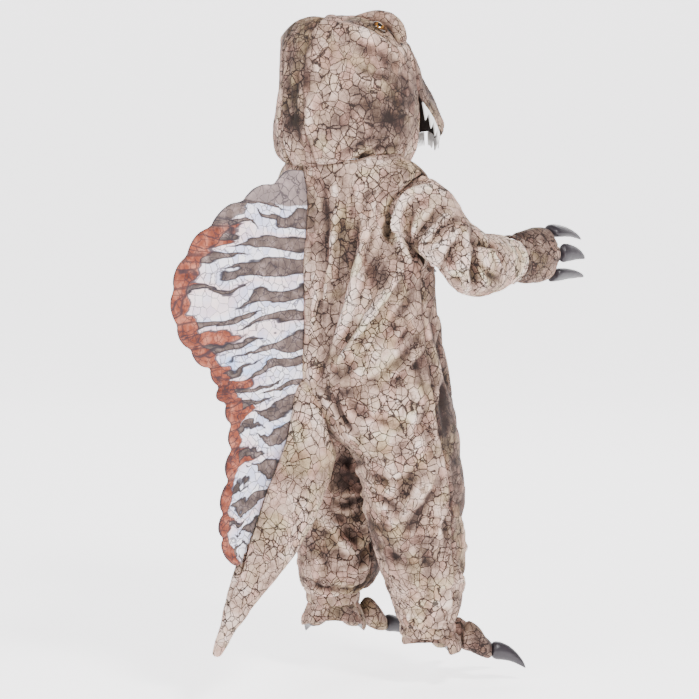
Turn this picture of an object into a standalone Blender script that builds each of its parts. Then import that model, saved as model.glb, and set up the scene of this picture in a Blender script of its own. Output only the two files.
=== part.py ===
"""Dinosaur costume: a child's hooded jumpsuit with a back sail and a stuffed tail.

It is worn with nobody in it, so every panel is a thin wall in the shape that it hangs in.
Sizes are in millimetres until a mesh is written. The wearer faces -Y, +X is the wearer's left
and the origin lies between the shoulders, where the garment is held up.
"""
import itertools
import math

import bmesh
import bpy
from mathutils import Vector
from mathutils.bvhtree import BVHTree

MM = 0.001
RIGHT, LEFT = -1, 1
BACK, FRONT = 1, -1
SIDES = ((RIGHT, "right"), (LEFT, "left"))

# Cloth and seams
WALL = 2.0
SEAM = 0.3
SEAT_GAP = 0.5
FELT = 2.0
NECK_LIFT = 0.8
ARMHOLE_GAP = 0.6
FAR = 600

# Fineness of the panels
BACK_COLUMNS = 12
FRONT_COLUMNS = 8
SHOULDER_ROWS = 3
ARM_ROWS = 8
UNDERARM_ROW = SHOULDER_ROWS + ARM_ROWS
SLEEVE_ROWS = 14
HOOD_COLUMNS = 8
HOOD_ROWS = 12
JAW_ROWS = 7
COVER_ROWS = 5
FLAP_COLUMNS = 12

# Colours: red, green, blue, roughness
PRINT = (0.50, 0.40, 0.33, 0.9)
SAIL_CLOTH = (0.72, 0.70, 0.80, 0.85)
VINYL = (0.09, 0.08, 0.09, 0.35)
FELT_WHITE = (0.86, 0.84, 0.80, 0.95)
AMBER = (0.75, 0.40, 0.05, 0.2)

# Upper body. Row, height at the back seam, height at the front seam,
# half width, half depth, middle Y
UPPER = (
    (0, 18, -8, 84, 90, 15),
    (3, -24, -46, 126, 91, 7),
    (7, -72, -84, 132, 96, 4),
    (11, -118, -118, 138, 101, 3),
)
# Shoulder seam. Row, X, Y, height
SHOULDER = (
    (0, 84, 15, 36),
    (1, 104, 5, 30),
    (2, 118, -5, 20),
    (3, 127, -14, 8),
)
# Armhole. Row, back X, Y, height, front X, Y, height
ARMHOLE = (
    (3, 127, -14, 8, 127, -14, 8),
    (5, 116, 20, -18, 122, -44, -20),
    (7, 109, 41, -46, 115, -55, -54),
    (9, 124, 31, -80, 123, -44, -88),
    (11, 142, 0, -117, 142, 0, -117),
)
# Torso and seat. Height, half width, half depth, middle Y, offset of each leg's middle
TORSO = (
    (-117, 138, 101, 3, 0),
    (-165, 140, 103, 2, 0),
    (-212, 143, 105, 0, 0),
    (-258, 149, 109, -2, 0),
    (-300, 155, 112, -5, 0),
    (-325, 156, 111, -8, 20),
    (-350, 156, 108, -13, 46),
    (-372, 156, 102, -19, 64),
    (-388, 155.5, 94, -25, 74),
    (-398, 155, 88, -29, 77.5),
)
TORSO_HEIGHTS = (-140, -163, -187, -211, -235, -259, -282, -303, -323, -343, -361, -377, -389)
CROTCH = -398
# Legs. Height, middle X, middle Y, half width, half depth
LEGS = {
    RIGHT: (
        (-398, 77.5, -29, 77.5, 88),
        (-412, 80, -33, 74.5, 86),
        (-460, 80.5, -46, 75, 81),
        (-500, 80, -50, 72, 77),
        (-540, 81, -56, 68, 72),
        (-580, 83, -64, 62, 67),
        (-620, 84, -70, 54, 58),
        (-652, 85, -72, 46, 49),
        (-668, 85, -72, 38, 40),
    ),
    LEFT: (
        (-398, 77.5, -29, 77.5, 88),
        (-412, 80, -32, 74.5, 86),
        (-455, 80, -42, 74.5, 80),
        (-490, 79, -46, 71, 76),
        (-525, 79, -48, 67, 72),
        (-560, 78.5, -50, 65, 70),
        (-592, 78, -49, 64, 69),
        (-622, 79, -42, 54, 58),
        (-634, 80, -34, 38, 40),
    ),
}
LEG_STEPS = (0.05, 0.16, 0.28, 0.40, 0.52, 0.63, 0.73, 0.82, 0.90, 0.96, 1.0)

# Sleeve. Fraction of its length, X, Y, height of its middle, radius,
# heading from sideways to the front and pitch, in degrees
SLEEVE = (
    (0.00, 126, 2, -56, 58, 0, 0),
    (0.10, 147, -10, -64, 57, 12, -6),
    (0.22, 160, -34, -86, 53, 28, -14),
    (0.36, 165, -64, -114, 49, 50, -16),
    (0.50, 162, -94, -126, 47, 72, -8),
    (0.70, 149, -142, -125, 43, 95, 1),
    (0.88, 139, -178, -122, 37, 101, 4),
    (1.00, 135, -198, -120, 33, 101, 5),
)
SLEEVE_POINTS = 2 * ARM_ROWS
BODY_CLEARANCE = 8

# Folds. Limb, path of angle from the back seam (to the wearer's left) and height,
# half width, rise
FOLDS = (
    ("torso", ((-33, -8), (-24, -136), (-12, -274)), 15, -5),
    ("torso", ((-40, -24), (-31, -122), (-9, -308)), 15, -5),
    ("torso", ((-65, -45), (-51, -125), (-26, -250), (-11, -305)), 16, -6),
    ("torso", ((-76, -112), (-50, -192), (-20, -274), (-12, -307)), 15, 8),
    ("torso", ((-65, -162), (-31, -262), (-18, -308)), 14, -5),
    ("torso", ((30, -20), (22, -150), (10, -285)), 15, -5),
    ("torso", ((62, -50), (46, -140), (22, -255), (10, -305)), 16, -6),
    ("torso", ((74, -118), (48, -205), (18, -290)), 15, 7),
    ("torso", ((-112, -70), (-138, -180), (-162, -300)), 17, -5),
    ("torso", ((114, -75), (140, -190), (165, -310)), 17, -5),
    ("torso", ((-104, -230), (-128, -300), (-150, -365)), 16, 5),
    ("torso", ((106, -240), (130, -310), (150, -365)), 16, 5),
    ("right_leg", ((-44, -435), (-26, -473)), 14, -6),
    ("right_leg", ((-72, -428), (-40, -480), (-15, -518)), 15, 6),
    ("right_leg", ((-60, -545), (-10, -575), (40, -560)), 14, -4),
    ("right_leg", ((-100, -480), (-140, -520), (-175, -505)), 15, -4),
    ("left_leg", ((-70, -440), (-35, -462), (10, -450)), 14, -6),
    ("left_leg", ((-75, -500), (-40, -520), (0, -512)), 13, -5),
    ("left_leg", ((-60, -480), (-20, -488), (30, -478)), 14, 5),
    ("left_leg", ((60, -450), (30, -500), (50, -545)), 15, -4),
    ("left_leg", ((110, -480), (150, -520), (185, -500)), 15, -4),
)
# Sleeve folds, on both sleeves. Path of length fraction and turn from the top, half width, rise
SLEEVE_FOLDS = (
    (((0.40, -0.10), (0.46, 0.20), (0.44, 0.45)), 12, -5),
    (((0.55, 0.05), (0.52, 0.25), (0.57, 0.50)), 12, 4),
    (((0.38, 0.30), (0.30, 0.44)), 12, -4),
    (((0.70, 0.10), (0.64, 0.35), (0.72, 0.55)), 12, -4),
)

# Share of its rise that a fold keeps at its ends, and its reach in half widths
FOLD_END = 0.35
FOLD_REACH = 3

# Elastic casings at wrists and ankles
CASING_LENGTH = 13
CASING_TUCK = 1
CASING_WAVES = 14
CASING_WAVE_RISE = 1.8
CASING_POINTS = 28
WRIST_TURN = Vector((0.02, -0.99, 0.10)).normalized()

# Hand cover. Fraction of its length, half height, half width of its inside
COVER_LENGTH = 70
COVER = (
    (0.0, 32, 29),
    (0.4, 35, 31),
    (0.8, 35, 30),
    (1.0, 33, 28),
)
COVER_SPREAD = math.radians(102)
COVER_SECTIONS = 3
COVER_PAD = 7
COVER_EDGE = 3
COVER_CLAW_LIFT = 4

# Claws. Fraction of the length, share of the base size, drop as a share of the length
CLAW = (
    (0.0, 1.0, 0.0),
    (0.25, 0.93, 0.01),
    (0.55, 0.70, 0.06),
    (0.82, 0.38, 0.15),
)
CLAW_SIDES = 8
CLAW_TIP_DROP = 0.25
HAND_CLAW = (60, 13, 8)
FOOT_CLAW = (55, 13, 11)

# Foot covers. Height of the instep flap and the directions of its toes, degrees from the front
FOOT = {
    RIGHT: (-684, (34, 3, -30)),
    LEFT: (-668, (-10, 26, 62)),
}
# Instep flap: reach of its middle, drop, depth of its wall downwards
FLAP = (
    (38.0, 0, 3),
    (46.0, -1, 3),
    (50.5, -9, 1),
    (51.0, -24, 1),
)
FLAP_SPREAD = math.radians(98)
FLAP_HALF_WALL = 1.5
# Stuffed toe. Distance from the ankle's middle, drop, half height, half width
TOE = (
    (53, -8, 15, 11),
    (60, -5, 23, 13.5),
    (67, -5, 26, 16),
    (79, -13, 24, 19),
    (90, -23, 18, 17.5),
    (98, -28, 13, 12),
)
TOE_SIDES = 10

# Hood: its middle line from nape to forehead. Fraction, Y, height
HOOD_MIDDLE = (
    (0.00, 105, 18),
    (0.06, 117, 38),
    (0.14, 127, 66),
    (0.30, 134, 118),
    (0.46, 129, 178),
    (0.60, 108, 224),
    (0.70, 80, 244),
    (0.80, 44, 238),
    (0.90, 2, 243),
    (1.00, -40, 232),
)
GUSSET_HALF_WIDTH = 25
GUSSET_ARCH = 3.5
# Hood sides: fraction, handle at the gusset X, Y, Z, handle at the face edge X, Y, Z,
# face edge X, Y, Z
HOOD_SIDE = (
    (0.0, 85, 80, 27, 103, 1, 38, 61, -47, 15),
    (0.3, 102, 117, 112, 119, 15, 70, 78, -50, 46),
    (0.6, 92, 98, 214, 123, 16, 135, 84, -50, 80),
    (0.8, 82, 42, 232, 116, 0, 168, 84, -50, 104),
    (1.0, 68, -38, 222, 97, -38, 176, 82, -47, 127),
)
NECK_GUSSET_TURN = 0.19
NECK_FACE_TURN = 1.483
# Upper jaw: fraction, middle Y, Z, handle X, Y, Z, second handle X, Y, Z, lip X, Y, Z
JAW = (
    (0.35, -86, 196, 50, -84, 193, 84, -84, 140, 77, -84, 98),
    (0.65, -136, 150, 40, -135, 148, 68, -124, 104, 63, -120, 74),
    (0.85, -163, 110, 28, -162, 108, 50, -150, 82, 46, -145, 61),
    (1.00, -168, 62, 12, -168, 62, 20, -164, 59, 27, -156, 55),
)
TOOTH_ROOT = 4
TOOTH_LENGTH = 21

# Brow roll: fraction, X, Y, height, radius
BROW = (
    (0.0, 27, 30, 246, 7),
    (0.3, 50, 0, 246, 12),
    (0.65, 76, -14, 229, 13),
    (1.0, 91, -10, 199, 8),
)
BROW_ROWS = 9
BROW_SIDES = 8
BROW_SEAT = 0.8
BROW_GAP = 0.7

# Eye button: share of the radius, share of the rise
EYE_RINGS = (
    (1.00, 0.00),
    (1.00, 0.25),
    (0.85, 0.65),
    (0.50, 0.92),
)
EYE_SIDES = 12
EYE_PLACE = Vector((70, 14, 224))
EYE_RADIUS = 13
EYE_RISE = 7

# Sail: joins of its scallops. Reach from the seam, height, height of the same ray on the seam
SAIL_JOINS = (
    (7, 14, 12),
    (50, -6, -14),
    (102, -30, -44),
    (152, -66, -76),
    (190, -108, -108),
    (210, -157, -140),
    (205, -208, -175),
    (182, -244, -208),
    (150, -272, -240),
    (137, -298, -268),
    (107, -322, -298),
    (91, -352, -330),
    (77, -387, -362),
    (62, -431, -405),
    (52, -477, -452),
    (40, -511, -497),
    (7, -556, -550),
)
SAIL_STEPS = 3
SAIL_COLUMNS = 5
SAIL_BULGE = 0.17
SAIL_LEAN = math.radians(15)
SAIL_THICKNESS = (5.0, 9.0, 9.5, 9.0, 8.0, 4.0)
SAIL_REACH = 3

# Tail sections. Height, middle Y, half depth, half width
TAIL = (
    (-303, 112, 8, 9),
    (-325, 112, 19, 24),
    (-350, 105, 32, 35),
    (-383, 98, 47, 44),
    (-427, 110, 51, 45),
    (-465, 127, 50, 43),
    (-504, 146, 48, 40),
    (-530, 163, 44, 35.5),
    (-558, 182, 38, 30),
    (-601, 222, 26, 18.5),
    (-643, 251, 14, 9.5),
    (-667, 265, 7, 5),
    (-688, 277, 2.5, 2),
)
TAIL_ROWS = 17
TAIL_SIDES = 8
TAIL_REACH = 7

# Front placket
PLACKET_TOP = -24
PLACKET_BOTTOM = -262
PLACKET_HALF_WIDTH = 14
PLACKET_ROWS = 12


def smooth(f):
    """Ease a fraction from 0 to 1."""
    f = min(max(f, 0.0), 1.0)
    return f * f * (3 - 2 * f)


def table_at(rows, key):
    """Smooth value of each column of a table at a key, which is its first column."""
    rows = sorted(rows)
    keys = [row[0] for row in rows]
    key = min(max(key, keys[0]), keys[-1])
    low = max(k for k in range(len(rows) - 1) if keys[k] <= key)
    span = keys[low + 1] - keys[low]
    f = (key - keys[low]) / span

    def slope(k, column):
        before, after = max(k - 1, 0), min(k + 1, len(rows) - 1)
        return (rows[after][column] - rows[before][column]) / (keys[after] - keys[before])

    values = []
    for column in range(1, len(rows[0])):
        start, end = rows[low][column], rows[low + 1][column]
        leave, arrive = slope(low, column) * span, slope(low + 1, column) * span
        value = start * (2 * f ** 3 - 3 * f ** 2 + 1) + leave * (f ** 3 - 2 * f ** 2 + f)
        value += end * (3 * f ** 2 - 2 * f ** 3) + arrive * (f ** 3 - f ** 2)
        values.append(value)
    return values


def bezier(a, b, c, d, f):
    """Point of a cubic curve."""
    g = 1 - f
    return a * g ** 3 + b * 3 * g * g * f + c * 3 * g * f * f + d * f ** 3


def mirrored(point, side):
    """A place given for the wearer's left, on either side."""
    return Vector((point[0] * side, point[1], point[2]))


# Body panels

def edge_point(face, row):
    """Shoulder seam or armhole, for the wearer's left."""
    if row <= SHOULDER_ROWS:
        return Vector(table_at(SHOULDER, row))
    values = table_at(ARMHOLE, row)
    return Vector(values[:3] if face == BACK else values[3:])


def upper_point(face, row, f):
    """Point of a row above the underarm, f from the centre seam to the edge."""
    back_z, front_z, half_width, half_depth, middle_y = table_at(UPPER, row)
    edge = edge_point(face, row)
    centre_z = back_z if face == BACK else front_z
    angle = math.atan2(face * (edge.y - middle_y) / half_depth, edge.x / half_width)
    turn = math.pi / 2 + (angle - math.pi / 2) * f
    miss_x = edge.x - half_width * math.cos(angle)
    miss_y = edge.y - middle_y - face * half_depth * math.sin(angle)
    x = half_width * math.cos(turn) + miss_x * smooth(f)
    y = middle_y + face * half_depth * math.sin(turn) + miss_y * smooth(f)
    return Vector((x, y, centre_z + (edge.z - centre_z) * smooth(f)))


def lower_point(face, middle_x, middle_y, half_width, half_depth, z, f):
    """Point of a row below the underarm, which starts on the centre line or the inseam."""
    start = math.acos(max(-middle_x / half_width, -1.0))
    turn = start * (1 - f)
    x = middle_x + half_width * math.cos(turn)
    return Vector((x, middle_y + face * half_depth * math.sin(turn), z))


def body_rows(side):
    """The rows of a body panel as functions of face and fraction."""
    rows = [lambda face, f, row=row: upper_point(face, row, f) for row in range(UNDERARM_ROW + 1)]
    for z in TORSO_HEIGHTS + (CROTCH,):
        half_width, half_depth, middle_y, offset = table_at(TORSO, z)
        shape = (offset, middle_y, half_width - offset, half_depth, z)
        rows.append(lambda face, f, shape=shape: lower_point(face, *shape, f))
    ankle = LEGS[side][-1][0]
    for step in LEG_STEPS:
        z = CROTCH + (ankle - CROTCH) * step
        shape = (*table_at(LEGS[side], z), z)
        rows.append(lambda face, f, shape=shape: lower_point(face, *shape, f))
    return rows


def body_panel(side, face):
    """Grid of one body panel, from the neck to the ankle."""
    columns = BACK_COLUMNS if face == BACK else FRONT_COLUMNS
    grid = []
    for row in body_rows(side):
        grid.append([mirrored(row(face, c / columns), side) for c in range(columns + 1)])
    return grid


def neck_point(turn):
    """The hood's neck seam for the wearer's left: turn 0 at the nape, 1 at the side, 2 in front."""
    lift = Vector((0, 0, NECK_LIFT))
    if turn <= 1:
        return upper_point(BACK, 0, turn) + lift
    return upper_point(FRONT, 0, 2 - turn) + lift


# Sleeves

def sleeve_frame(f):
    """Middle, up and outward directions and radius of a sleeve ring, for the left."""
    x, y, z, radius, heading, pitch = table_at(SLEEVE, f)
    heading, pitch = math.radians(heading), math.radians(pitch)
    axis = Vector((math.cos(heading), -math.sin(heading), math.tan(pitch))).normalized()
    up = (Vector((0, 0, 1)) - axis * axis.z).normalized()
    return Vector((x, y, z)), up, up.cross(axis), radius


def armhole_ring():
    """The armhole's points for the left: top, down the back, up the front."""
    back = [edge_point(BACK, SHOULDER_ROWS + k) for k in range(ARM_ROWS + 1)]
    front = [edge_point(FRONT, UNDERARM_ROW - k) for k in range(1, ARM_ROWS)]
    return back + front


def clear_of_body(point):
    """Push a point for the left out of the torso."""
    if point.z < -117:
        half_width, half_depth, middle_y, _ = table_at(TORSO, max(point.z, -290))
    else:
        row = UNDERARM_ROW * min(max(-point.z, 0) / 118, 1)
        half_width, half_depth, middle_y = table_at(UPPER, max(row, 3))[2:]
    half_width += BODY_CLEARANCE
    half_depth += BODY_CLEARANCE
    out = Vector((point.x / half_width, (point.y - middle_y) / half_depth))
    if out.length >= 1 or out.length == 0:
        return point
    out.normalize()
    return Vector((out.x * half_width, middle_y + out.y * half_depth, point.z))


def sleeve_point(f, turn):
    """Point of a sleeve ring for the left; turn 0 is the top and 0.25 the outer side."""
    middle, up, outward, radius = sleeve_frame(f)
    angle = 2 * math.pi * turn
    return middle + (up * math.cos(angle) + outward * math.sin(angle)) * radius


def sleeve_grid(side):
    """Rings from the armhole to the wrist."""
    start = armhole_ring()
    first = sleeve_frame(0)[0]
    grid = [[mirrored(p, side) for p in start]]
    for r in range(1, SLEEVE_ROWS + 1):
        f = r / SLEEVE_ROWS
        share = smooth(f / 0.3)
        moved = sleeve_frame(f)[0] - first
        ring = []
        for k in range(SLEEVE_POINTS):
            point = (start[k] + moved).lerp(sleeve_point(f, k / SLEEVE_POINTS), share)
            ring.append(mirrored(clear_of_body(point), side))
        grid.append(ring)
    return grid


# Hood

def gusset_edge(f):
    """The left edge of the hood's centre gusset."""
    if f <= 0:
        return neck_point(NECK_GUSSET_TURN)
    y, z = table_at(HOOD_MIDDLE, f)
    before, after = table_at(HOOD_MIDDLE, f - 0.02), table_at(HOOD_MIDDLE, f + 0.02)
    inward = Vector((0, before[1] - after[1], after[0] - before[0])).normalized()
    edge = Vector((GUSSET_HALF_WIDTH, y, z)) + inward * GUSSET_ARCH
    return neck_point(NECK_GUSSET_TURN).lerp(edge, smooth(f / 0.12))


def hood_side_point(f, g):
    """Point of the left hood side: f from the neck to the forehead, g from gusset to face."""
    values = table_at(HOOD_SIDE, f)
    near, far, face = Vector(values[:3]), Vector(values[3:6]), Vector(values[6:])
    return bezier(gusset_edge(f), near, far, face, g)


def hood_side_grid(side):
    """Grid of a hood side; its first row is the neck seam."""
    grid = []
    for r in range(HOOD_ROWS + 1):
        f = r / HOOD_ROWS
        row = [hood_side_point(f, c / HOOD_COLUMNS) for c in range(HOOD_COLUMNS + 1)]
        if r == 0:
            span = NECK_FACE_TURN - NECK_GUSSET_TURN
            shares = [c / HOOD_COLUMNS for c in range(HOOD_COLUMNS + 1)]
            row = [neck_point(NECK_GUSSET_TURN + span * share) for share in shares]
        grid.append([mirrored(p, side) for p in row])
    return grid


def gusset_grid():
    """Centre strip of the hood, three points wide."""
    grid = []
    for r in range(HOOD_ROWS + 1):
        f = r / HOOD_ROWS
        y, z = table_at(HOOD_MIDDLE, f)
        edge = gusset_edge(f)
        grid.append([mirrored(edge, RIGHT), Vector((0, y, z)), edge])
    return grid


def handles(start, second, third, end):
    """Handles of the cubic curve that passes through four evenly spaced points."""
    near = (18 * second - 5 * start - 9 * third + 2 * end) / 6
    far = (18 * third - 9 * second + 2 * start - 5 * end) / 6
    return near, far


def jaw_grid(hood_right, hood_left, gusset):
    """Upper jaw, from the forehead seam to the lip."""
    first = list(reversed(hood_right[-1])) + [gusset[-1][1]] + list(hood_left[-1])
    half = HOOD_COLUMNS + 1
    seam = [first[half + c] for c in (0, half // 3, 2 * half // 3, half)]
    near, far = handles(*seam)
    keys = [(0.0, seam[0].y, seam[0].z, *near, *far, *seam[-1]), *JAW]
    grid = [first]
    for r in range(1, JAW_ROWS + 1):
        values = table_at(keys, r / JAW_ROWS)
        middle = Vector((0, values[0], values[1]))
        near, far, lip = Vector(values[2:5]), Vector(values[5:8]), Vector(values[8:])
        arch = [bezier(middle, near, far, lip, c / half) for c in range(half + 1)]
        grid.append([mirrored(p, RIGHT) for p in reversed(arch[1:])] + arch)
    return grid


# Folds

def limb_point(limb, angle, z):
    """Place on the body at an angle from the centre back, to the wearer's left."""
    turn = math.radians(angle)
    if limb == "torso" and z > -117:
        half_width, half_depth, middle_y = table_at(UPPER, UNDERARM_ROW * min(-z / 118, 1))[2:]
        middle_x = 0
    elif limb == "torso":
        half_width, half_depth, middle_y, _ = table_at(TORSO, z)
        middle_x = 0
    else:
        side = RIGHT if limb == "right_leg" else LEFT
        middle_x, middle_y, half_width, half_depth = table_at(LEGS[side], z)
        middle_x *= side
    x = middle_x + half_width * math.sin(turn)
    return Vector((x, middle_y + half_depth * math.cos(turn), z))


def fold_paths():
    """Every fold as its points, half width and rise."""
    folds = []
    for limb, path, half_width, rise in FOLDS:
        folds.append(([limb_point(limb, angle, z) for angle, z in path], half_width, rise))
    for side, _ in SIDES:
        for path, half_width, rise in SLEEVE_FOLDS:
            points = [mirrored(sleeve_point(f, turn), side) for f, turn in path]
            folds.append((points, half_width, rise))
    return folds


def path_distance(point, path):
    """Distance from a point to a path, and how far along the path it lies."""
    best, along = 1e9, 0.0
    for k in range(len(path) - 1):
        step = path[k + 1] - path[k]
        f = min(max((point - path[k]).dot(step) / step.length_squared, 0), 1)
        distance = (point - path[k] - step * f).length
        if distance < best:
            best, along = distance, (k + f) / (len(path) - 1)
    return best, along


def fold_rise(point, folds):
    """Sum of the folds at a point."""
    total = 0.0
    for path, half_width, rise in folds:
        distance, along = path_distance(point, path)
        if distance < FOLD_REACH * half_width:
            fade = FOLD_END + (1 - FOLD_END) * math.sin(math.pi * min(max(along, 0.0), 1.0))
            total += rise * fade * math.exp(-(distance / half_width) ** 2)
    return total


# Shared normals and walls

def place_key(point):
    """A place rounded so that panels which meet there find each other."""
    return tuple(round((v + 0.0137) * 20) for v in point)


def cell_faces(rows, columns, wrap):
    """Index quads of a grid."""
    last = columns if wrap else columns - 1
    for r in range(rows - 1):
        for c in range(last):
            d = (c + 1) % columns
            yield r * columns + c, r * columns + d, (r + 1) * columns + d, (r + 1) * columns + c


def shared_normals(sheets):
    """Outward normals that panels share along their seams; a sleeve counts as much as the body."""
    totals = {}
    for name, (grid, wrap, middle) in sheets.items():
        limb = name if wrap else "body"
        points = [p for row in grid for p in row]
        cells = []
        for quad in cell_faces(len(grid), len(grid[0]), wrap):
            a, b, c, d = (points[i] for i in quad)
            cells.append((quad, (c - a).cross(d - b), (a + b + c + d) / 4))
        sign = 1 if sum(n.dot(at - middle) for _, n, at in cells) > 0 else -1
        for quad, normal, _ in cells:
            for i in quad:
                limbs = totals.setdefault(place_key(points[i]), {})
                limbs[limb] = limbs.get(limb, Vector()) + normal * sign
    return {key: sum((total.normalized() for total in limbs.values()), Vector()).normalized()
            for key, limbs in totals.items()}


def pulled_back(grid, wrap):
    """Draw each free edge of a grid back by half a seam gap."""
    rows, columns = len(grid), len(grid[0])
    out = [[p.copy() for p in row] for row in grid]
    for r in range(rows):
        for c in range(columns):
            if r in (0, rows - 1):
                step = grid[1 if r == 0 else rows - 2][c] - grid[r][c]
                out[r][c] += step.normalized() * (ARMHOLE_GAP if wrap and r == 0 else SEAM / 2)
            if not wrap and c in (0, columns - 1):
                step = grid[r][1 if c == 0 else columns - 2] - grid[r][c]
                out[r][c] += step.normalized() * SEAM / 2
    return out


def solid_faces(rows, columns, wrap):
    """Triangles of a wall made of two grids, the second one outside."""
    shift = rows * columns
    faces = []
    for a, b, c, d in cell_faces(rows, columns, wrap):
        faces += [(a, b, c), (a, c, d)]
        faces += [(a + shift, c + shift, b + shift), (a + shift, d + shift, c + shift)]
    rim = []
    last = columns if wrap else columns - 1
    for r in (0, rows - 1):
        rim += [(r * columns + c, r * columns + (c + 1) % columns) for c in range(last)]
    if not wrap:
        for c in (0, columns - 1):
            rim += [(r * columns + c, (r + 1) * columns + c) for r in range(rows - 1)]
    for i, j in rim:
        faces += [(i, j, j + shift), (i, j + shift, i + shift)]
    return faces


def make_object(name, points, faces, look, sharp=40):
    """One closed mesh object in metres, with its material."""
    mesh = bpy.data.meshes.new(name)
    mesh.from_pydata([p * MM for p in points], [], faces)
    bm = bmesh.new()
    bm.from_mesh(mesh)
    bmesh.ops.recalc_face_normals(bm, faces=bm.faces)
    bm.to_mesh(mesh)
    bm.free()
    mesh.shade_smooth()
    mesh.set_sharp_from_angle(angle=math.radians(sharp))
    mesh.materials.append(material(name, look))
    thing = bpy.data.objects.new(name, mesh)
    bpy.context.collection.objects.link(thing)
    return thing


def material(name, look):
    """Plain material of one piece."""
    made = bpy.data.materials.new(name)
    made.use_nodes = True
    shader = made.node_tree.nodes["Principled BSDF"]
    shader.inputs["Base Color"].default_value = (*look[:3], 1)
    shader.inputs["Roughness"].default_value = look[3]
    shader.inputs["Metallic"].default_value = 0.0
    return made


def wall_object(name, inner, outer, look, wrap=False):
    """A wall between two grids of the same size."""
    points = [p for row in inner for p in row] + [p for row in outer for p in row]
    return make_object(name, points, solid_faces(len(inner), len(inner[0]), wrap), look)


def tube_object(name, rings, look, base_middle=None):
    """A stuffed or solid piece: rings with both ends capped."""
    count = len(rings[0])
    points = [p for ring in rings for p in ring]
    faces = []
    for a, b, c, d in cell_faces(len(rings), count, True):
        faces += [(a, b, c), (a, c, d)]
    middles = (base_middle or sum(rings[0], Vector()) / count, sum(rings[-1], Vector()) / count)
    for base, middle in zip((0, (len(rings) - 1) * count), middles):
        points.append(middle)
        hub = len(points) - 1
        faces += [(base + k, base + (k + 1) % count, hub) for k in range(count)]
    return make_object(name, points, faces, look)


def surface_of(walls, solids=()):
    """Search tree over the outer faces of walls and over whole solids, in millimetres."""
    points, faces = [], []
    for thing in (*walls, *solids):
        shift = len(points)
        first_outer = len(thing.data.vertices) // 2 if thing in walls else 0
        points += [v.co / MM for v in thing.data.vertices]
        for polygon in thing.data.polygons:
            if min(polygon.vertices) >= first_outer:
                faces.append([i + shift for i in polygon.vertices])
    return BVHTree.FromPolygons(points, faces)


def seated(point, surface, gap=SEAT_GAP):
    """Lift a point off a surface when it lies below it."""
    place, normal, _, _ = surface.find_nearest(point)
    height = (point - place).dot(normal)
    return place + normal * gap if height < gap else point


# Building

def level_normal(point, middle):
    """Level normal at a seam that two panels share, so that both rims match."""
    return Vector((point.x - middle.x, point.y - middle.y, 0)).normalized()


def build_cloth():
    """All thin panels that share seams: body, sleeves, hood."""
    sheets = {}
    for side, word in SIDES:
        for face, kind in ((BACK, "back"), (FRONT, "front")):
            sheets[f"{kind}_{word}"] = (body_panel(side, face), False, Vector((side * 50, 0, -240)))
        sleeve = sleeve_grid(side)
        sheets[f"sleeve_{word}"] = (sleeve, True, mirrored((150, -90, -110), side))
    hood_middle = Vector((0, 20, 130))
    sides = {word: hood_side_grid(side) for side, word in SIDES}
    gusset = gusset_grid()
    jaw = jaw_grid(sides["right"], sides["left"], gusset)
    for word, grid in sides.items():
        sheets[f"hood_{word}"] = (grid, False, hood_middle)
    sheets["hood_gusset"] = (gusset, False, hood_middle)
    sheets["upper_jaw"] = (jaw, False, Vector((0, -60, 100)))
    return folded(sheets)


def folded(sheets):
    """Raise and sink the folds of the body and sleeves."""
    normals = shared_normals(sheets)
    folds = fold_paths()
    result = {}
    for name, (grid, wrap, middle) in sheets.items():
        if not name.startswith(("hood", "upper")):
            fixed = {0, len(grid) - 1} if not wrap else {len(grid) - 1}
            grid = [[p + normals[place_key(p)] * fold_rise(p, folds) if r not in fixed else p
                     for p in row] for r, row in enumerate(grid)]
        result[name] = (grid, wrap, middle)
    return result


def rim_normals(name, grid, normals):
    """Normals of each grid point, level at the neck, the wrist and the ankle."""
    result = [[normals[place_key(p)] for p in row] for row in grid]
    if name.startswith(("back", "front", "hood_")):
        result[0] = [level_normal(p, Vector((0, 15, 0))) for p in grid[0]]
    if name.startswith(("back", "front")):
        side = RIGHT if name.endswith("right") else LEFT
        z, middle_x, middle_y = LEGS[side][-1][:3]
        ankle = Vector((side * middle_x, middle_y, z))
        result[-1] = [level_normal(p, ankle) for p in grid[-1]]
    if name.startswith("sleeve"):
        middle = sum(grid[-1], Vector()) / len(grid[-1])
        result[-1] = [(p - middle).normalized() for p in grid[-1]]
    return result


def keep_side(name, point):
    """Hold a panel of one side clear of the middle plane."""
    side = RIGHT if name.endswith("right") else LEFT
    if abs(point.x) < SEAM / 2 or point.x * side < 0:
        return Vector((side * SEAM / 2, point.y, point.z))
    return point


def make_cloth(sheets):
    """Objects of the thin panels."""
    normals = shared_normals(sheets)
    made = {}
    for name, (grid, wrap, _) in sheets.items():
        lift = rim_normals(name, grid, normals)
        inner = pulled_back(grid, wrap)
        if name.startswith(("back", "front")):
            inner = [[keep_side(name, p) for p in row] for row in inner]
        outer = [[p + n * WALL for p, n in zip(*pair)] for pair in zip(inner, lift)]
        made[name] = wall_object(name, inner, outer, PRINT, wrap)
    return made, normals


def casing(name, start, start_axis, end, end_axis, radius, beside):
    """Gathered elastic casing between two planes; beside lies off its axis."""
    rings_in, rings_out = [], []
    for f in (0.0, 1.0):
        middle = start.lerp(end, f)
        axis = start_axis.lerp(end_axis, f).normalized()
        side_way = axis.cross(beside).normalized()
        other = axis.cross(side_way)
        inner, outer = [], []
        for k in range(CASING_POINTS):
            angle = 2 * math.pi * k / CASING_POINTS
            way = side_way * math.cos(angle) + other * math.sin(angle)
            rise = CASING_WAVE_RISE * math.cos(CASING_WAVES * angle)
            inner.append(middle + way * radius)
            outer.append(middle + way * (radius + WALL + CASING_WAVE_RISE + rise))
        rings_in.append(inner)
        rings_out.append(outer)
    wall_object(name, rings_in, rings_out, PRINT, True)


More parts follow.
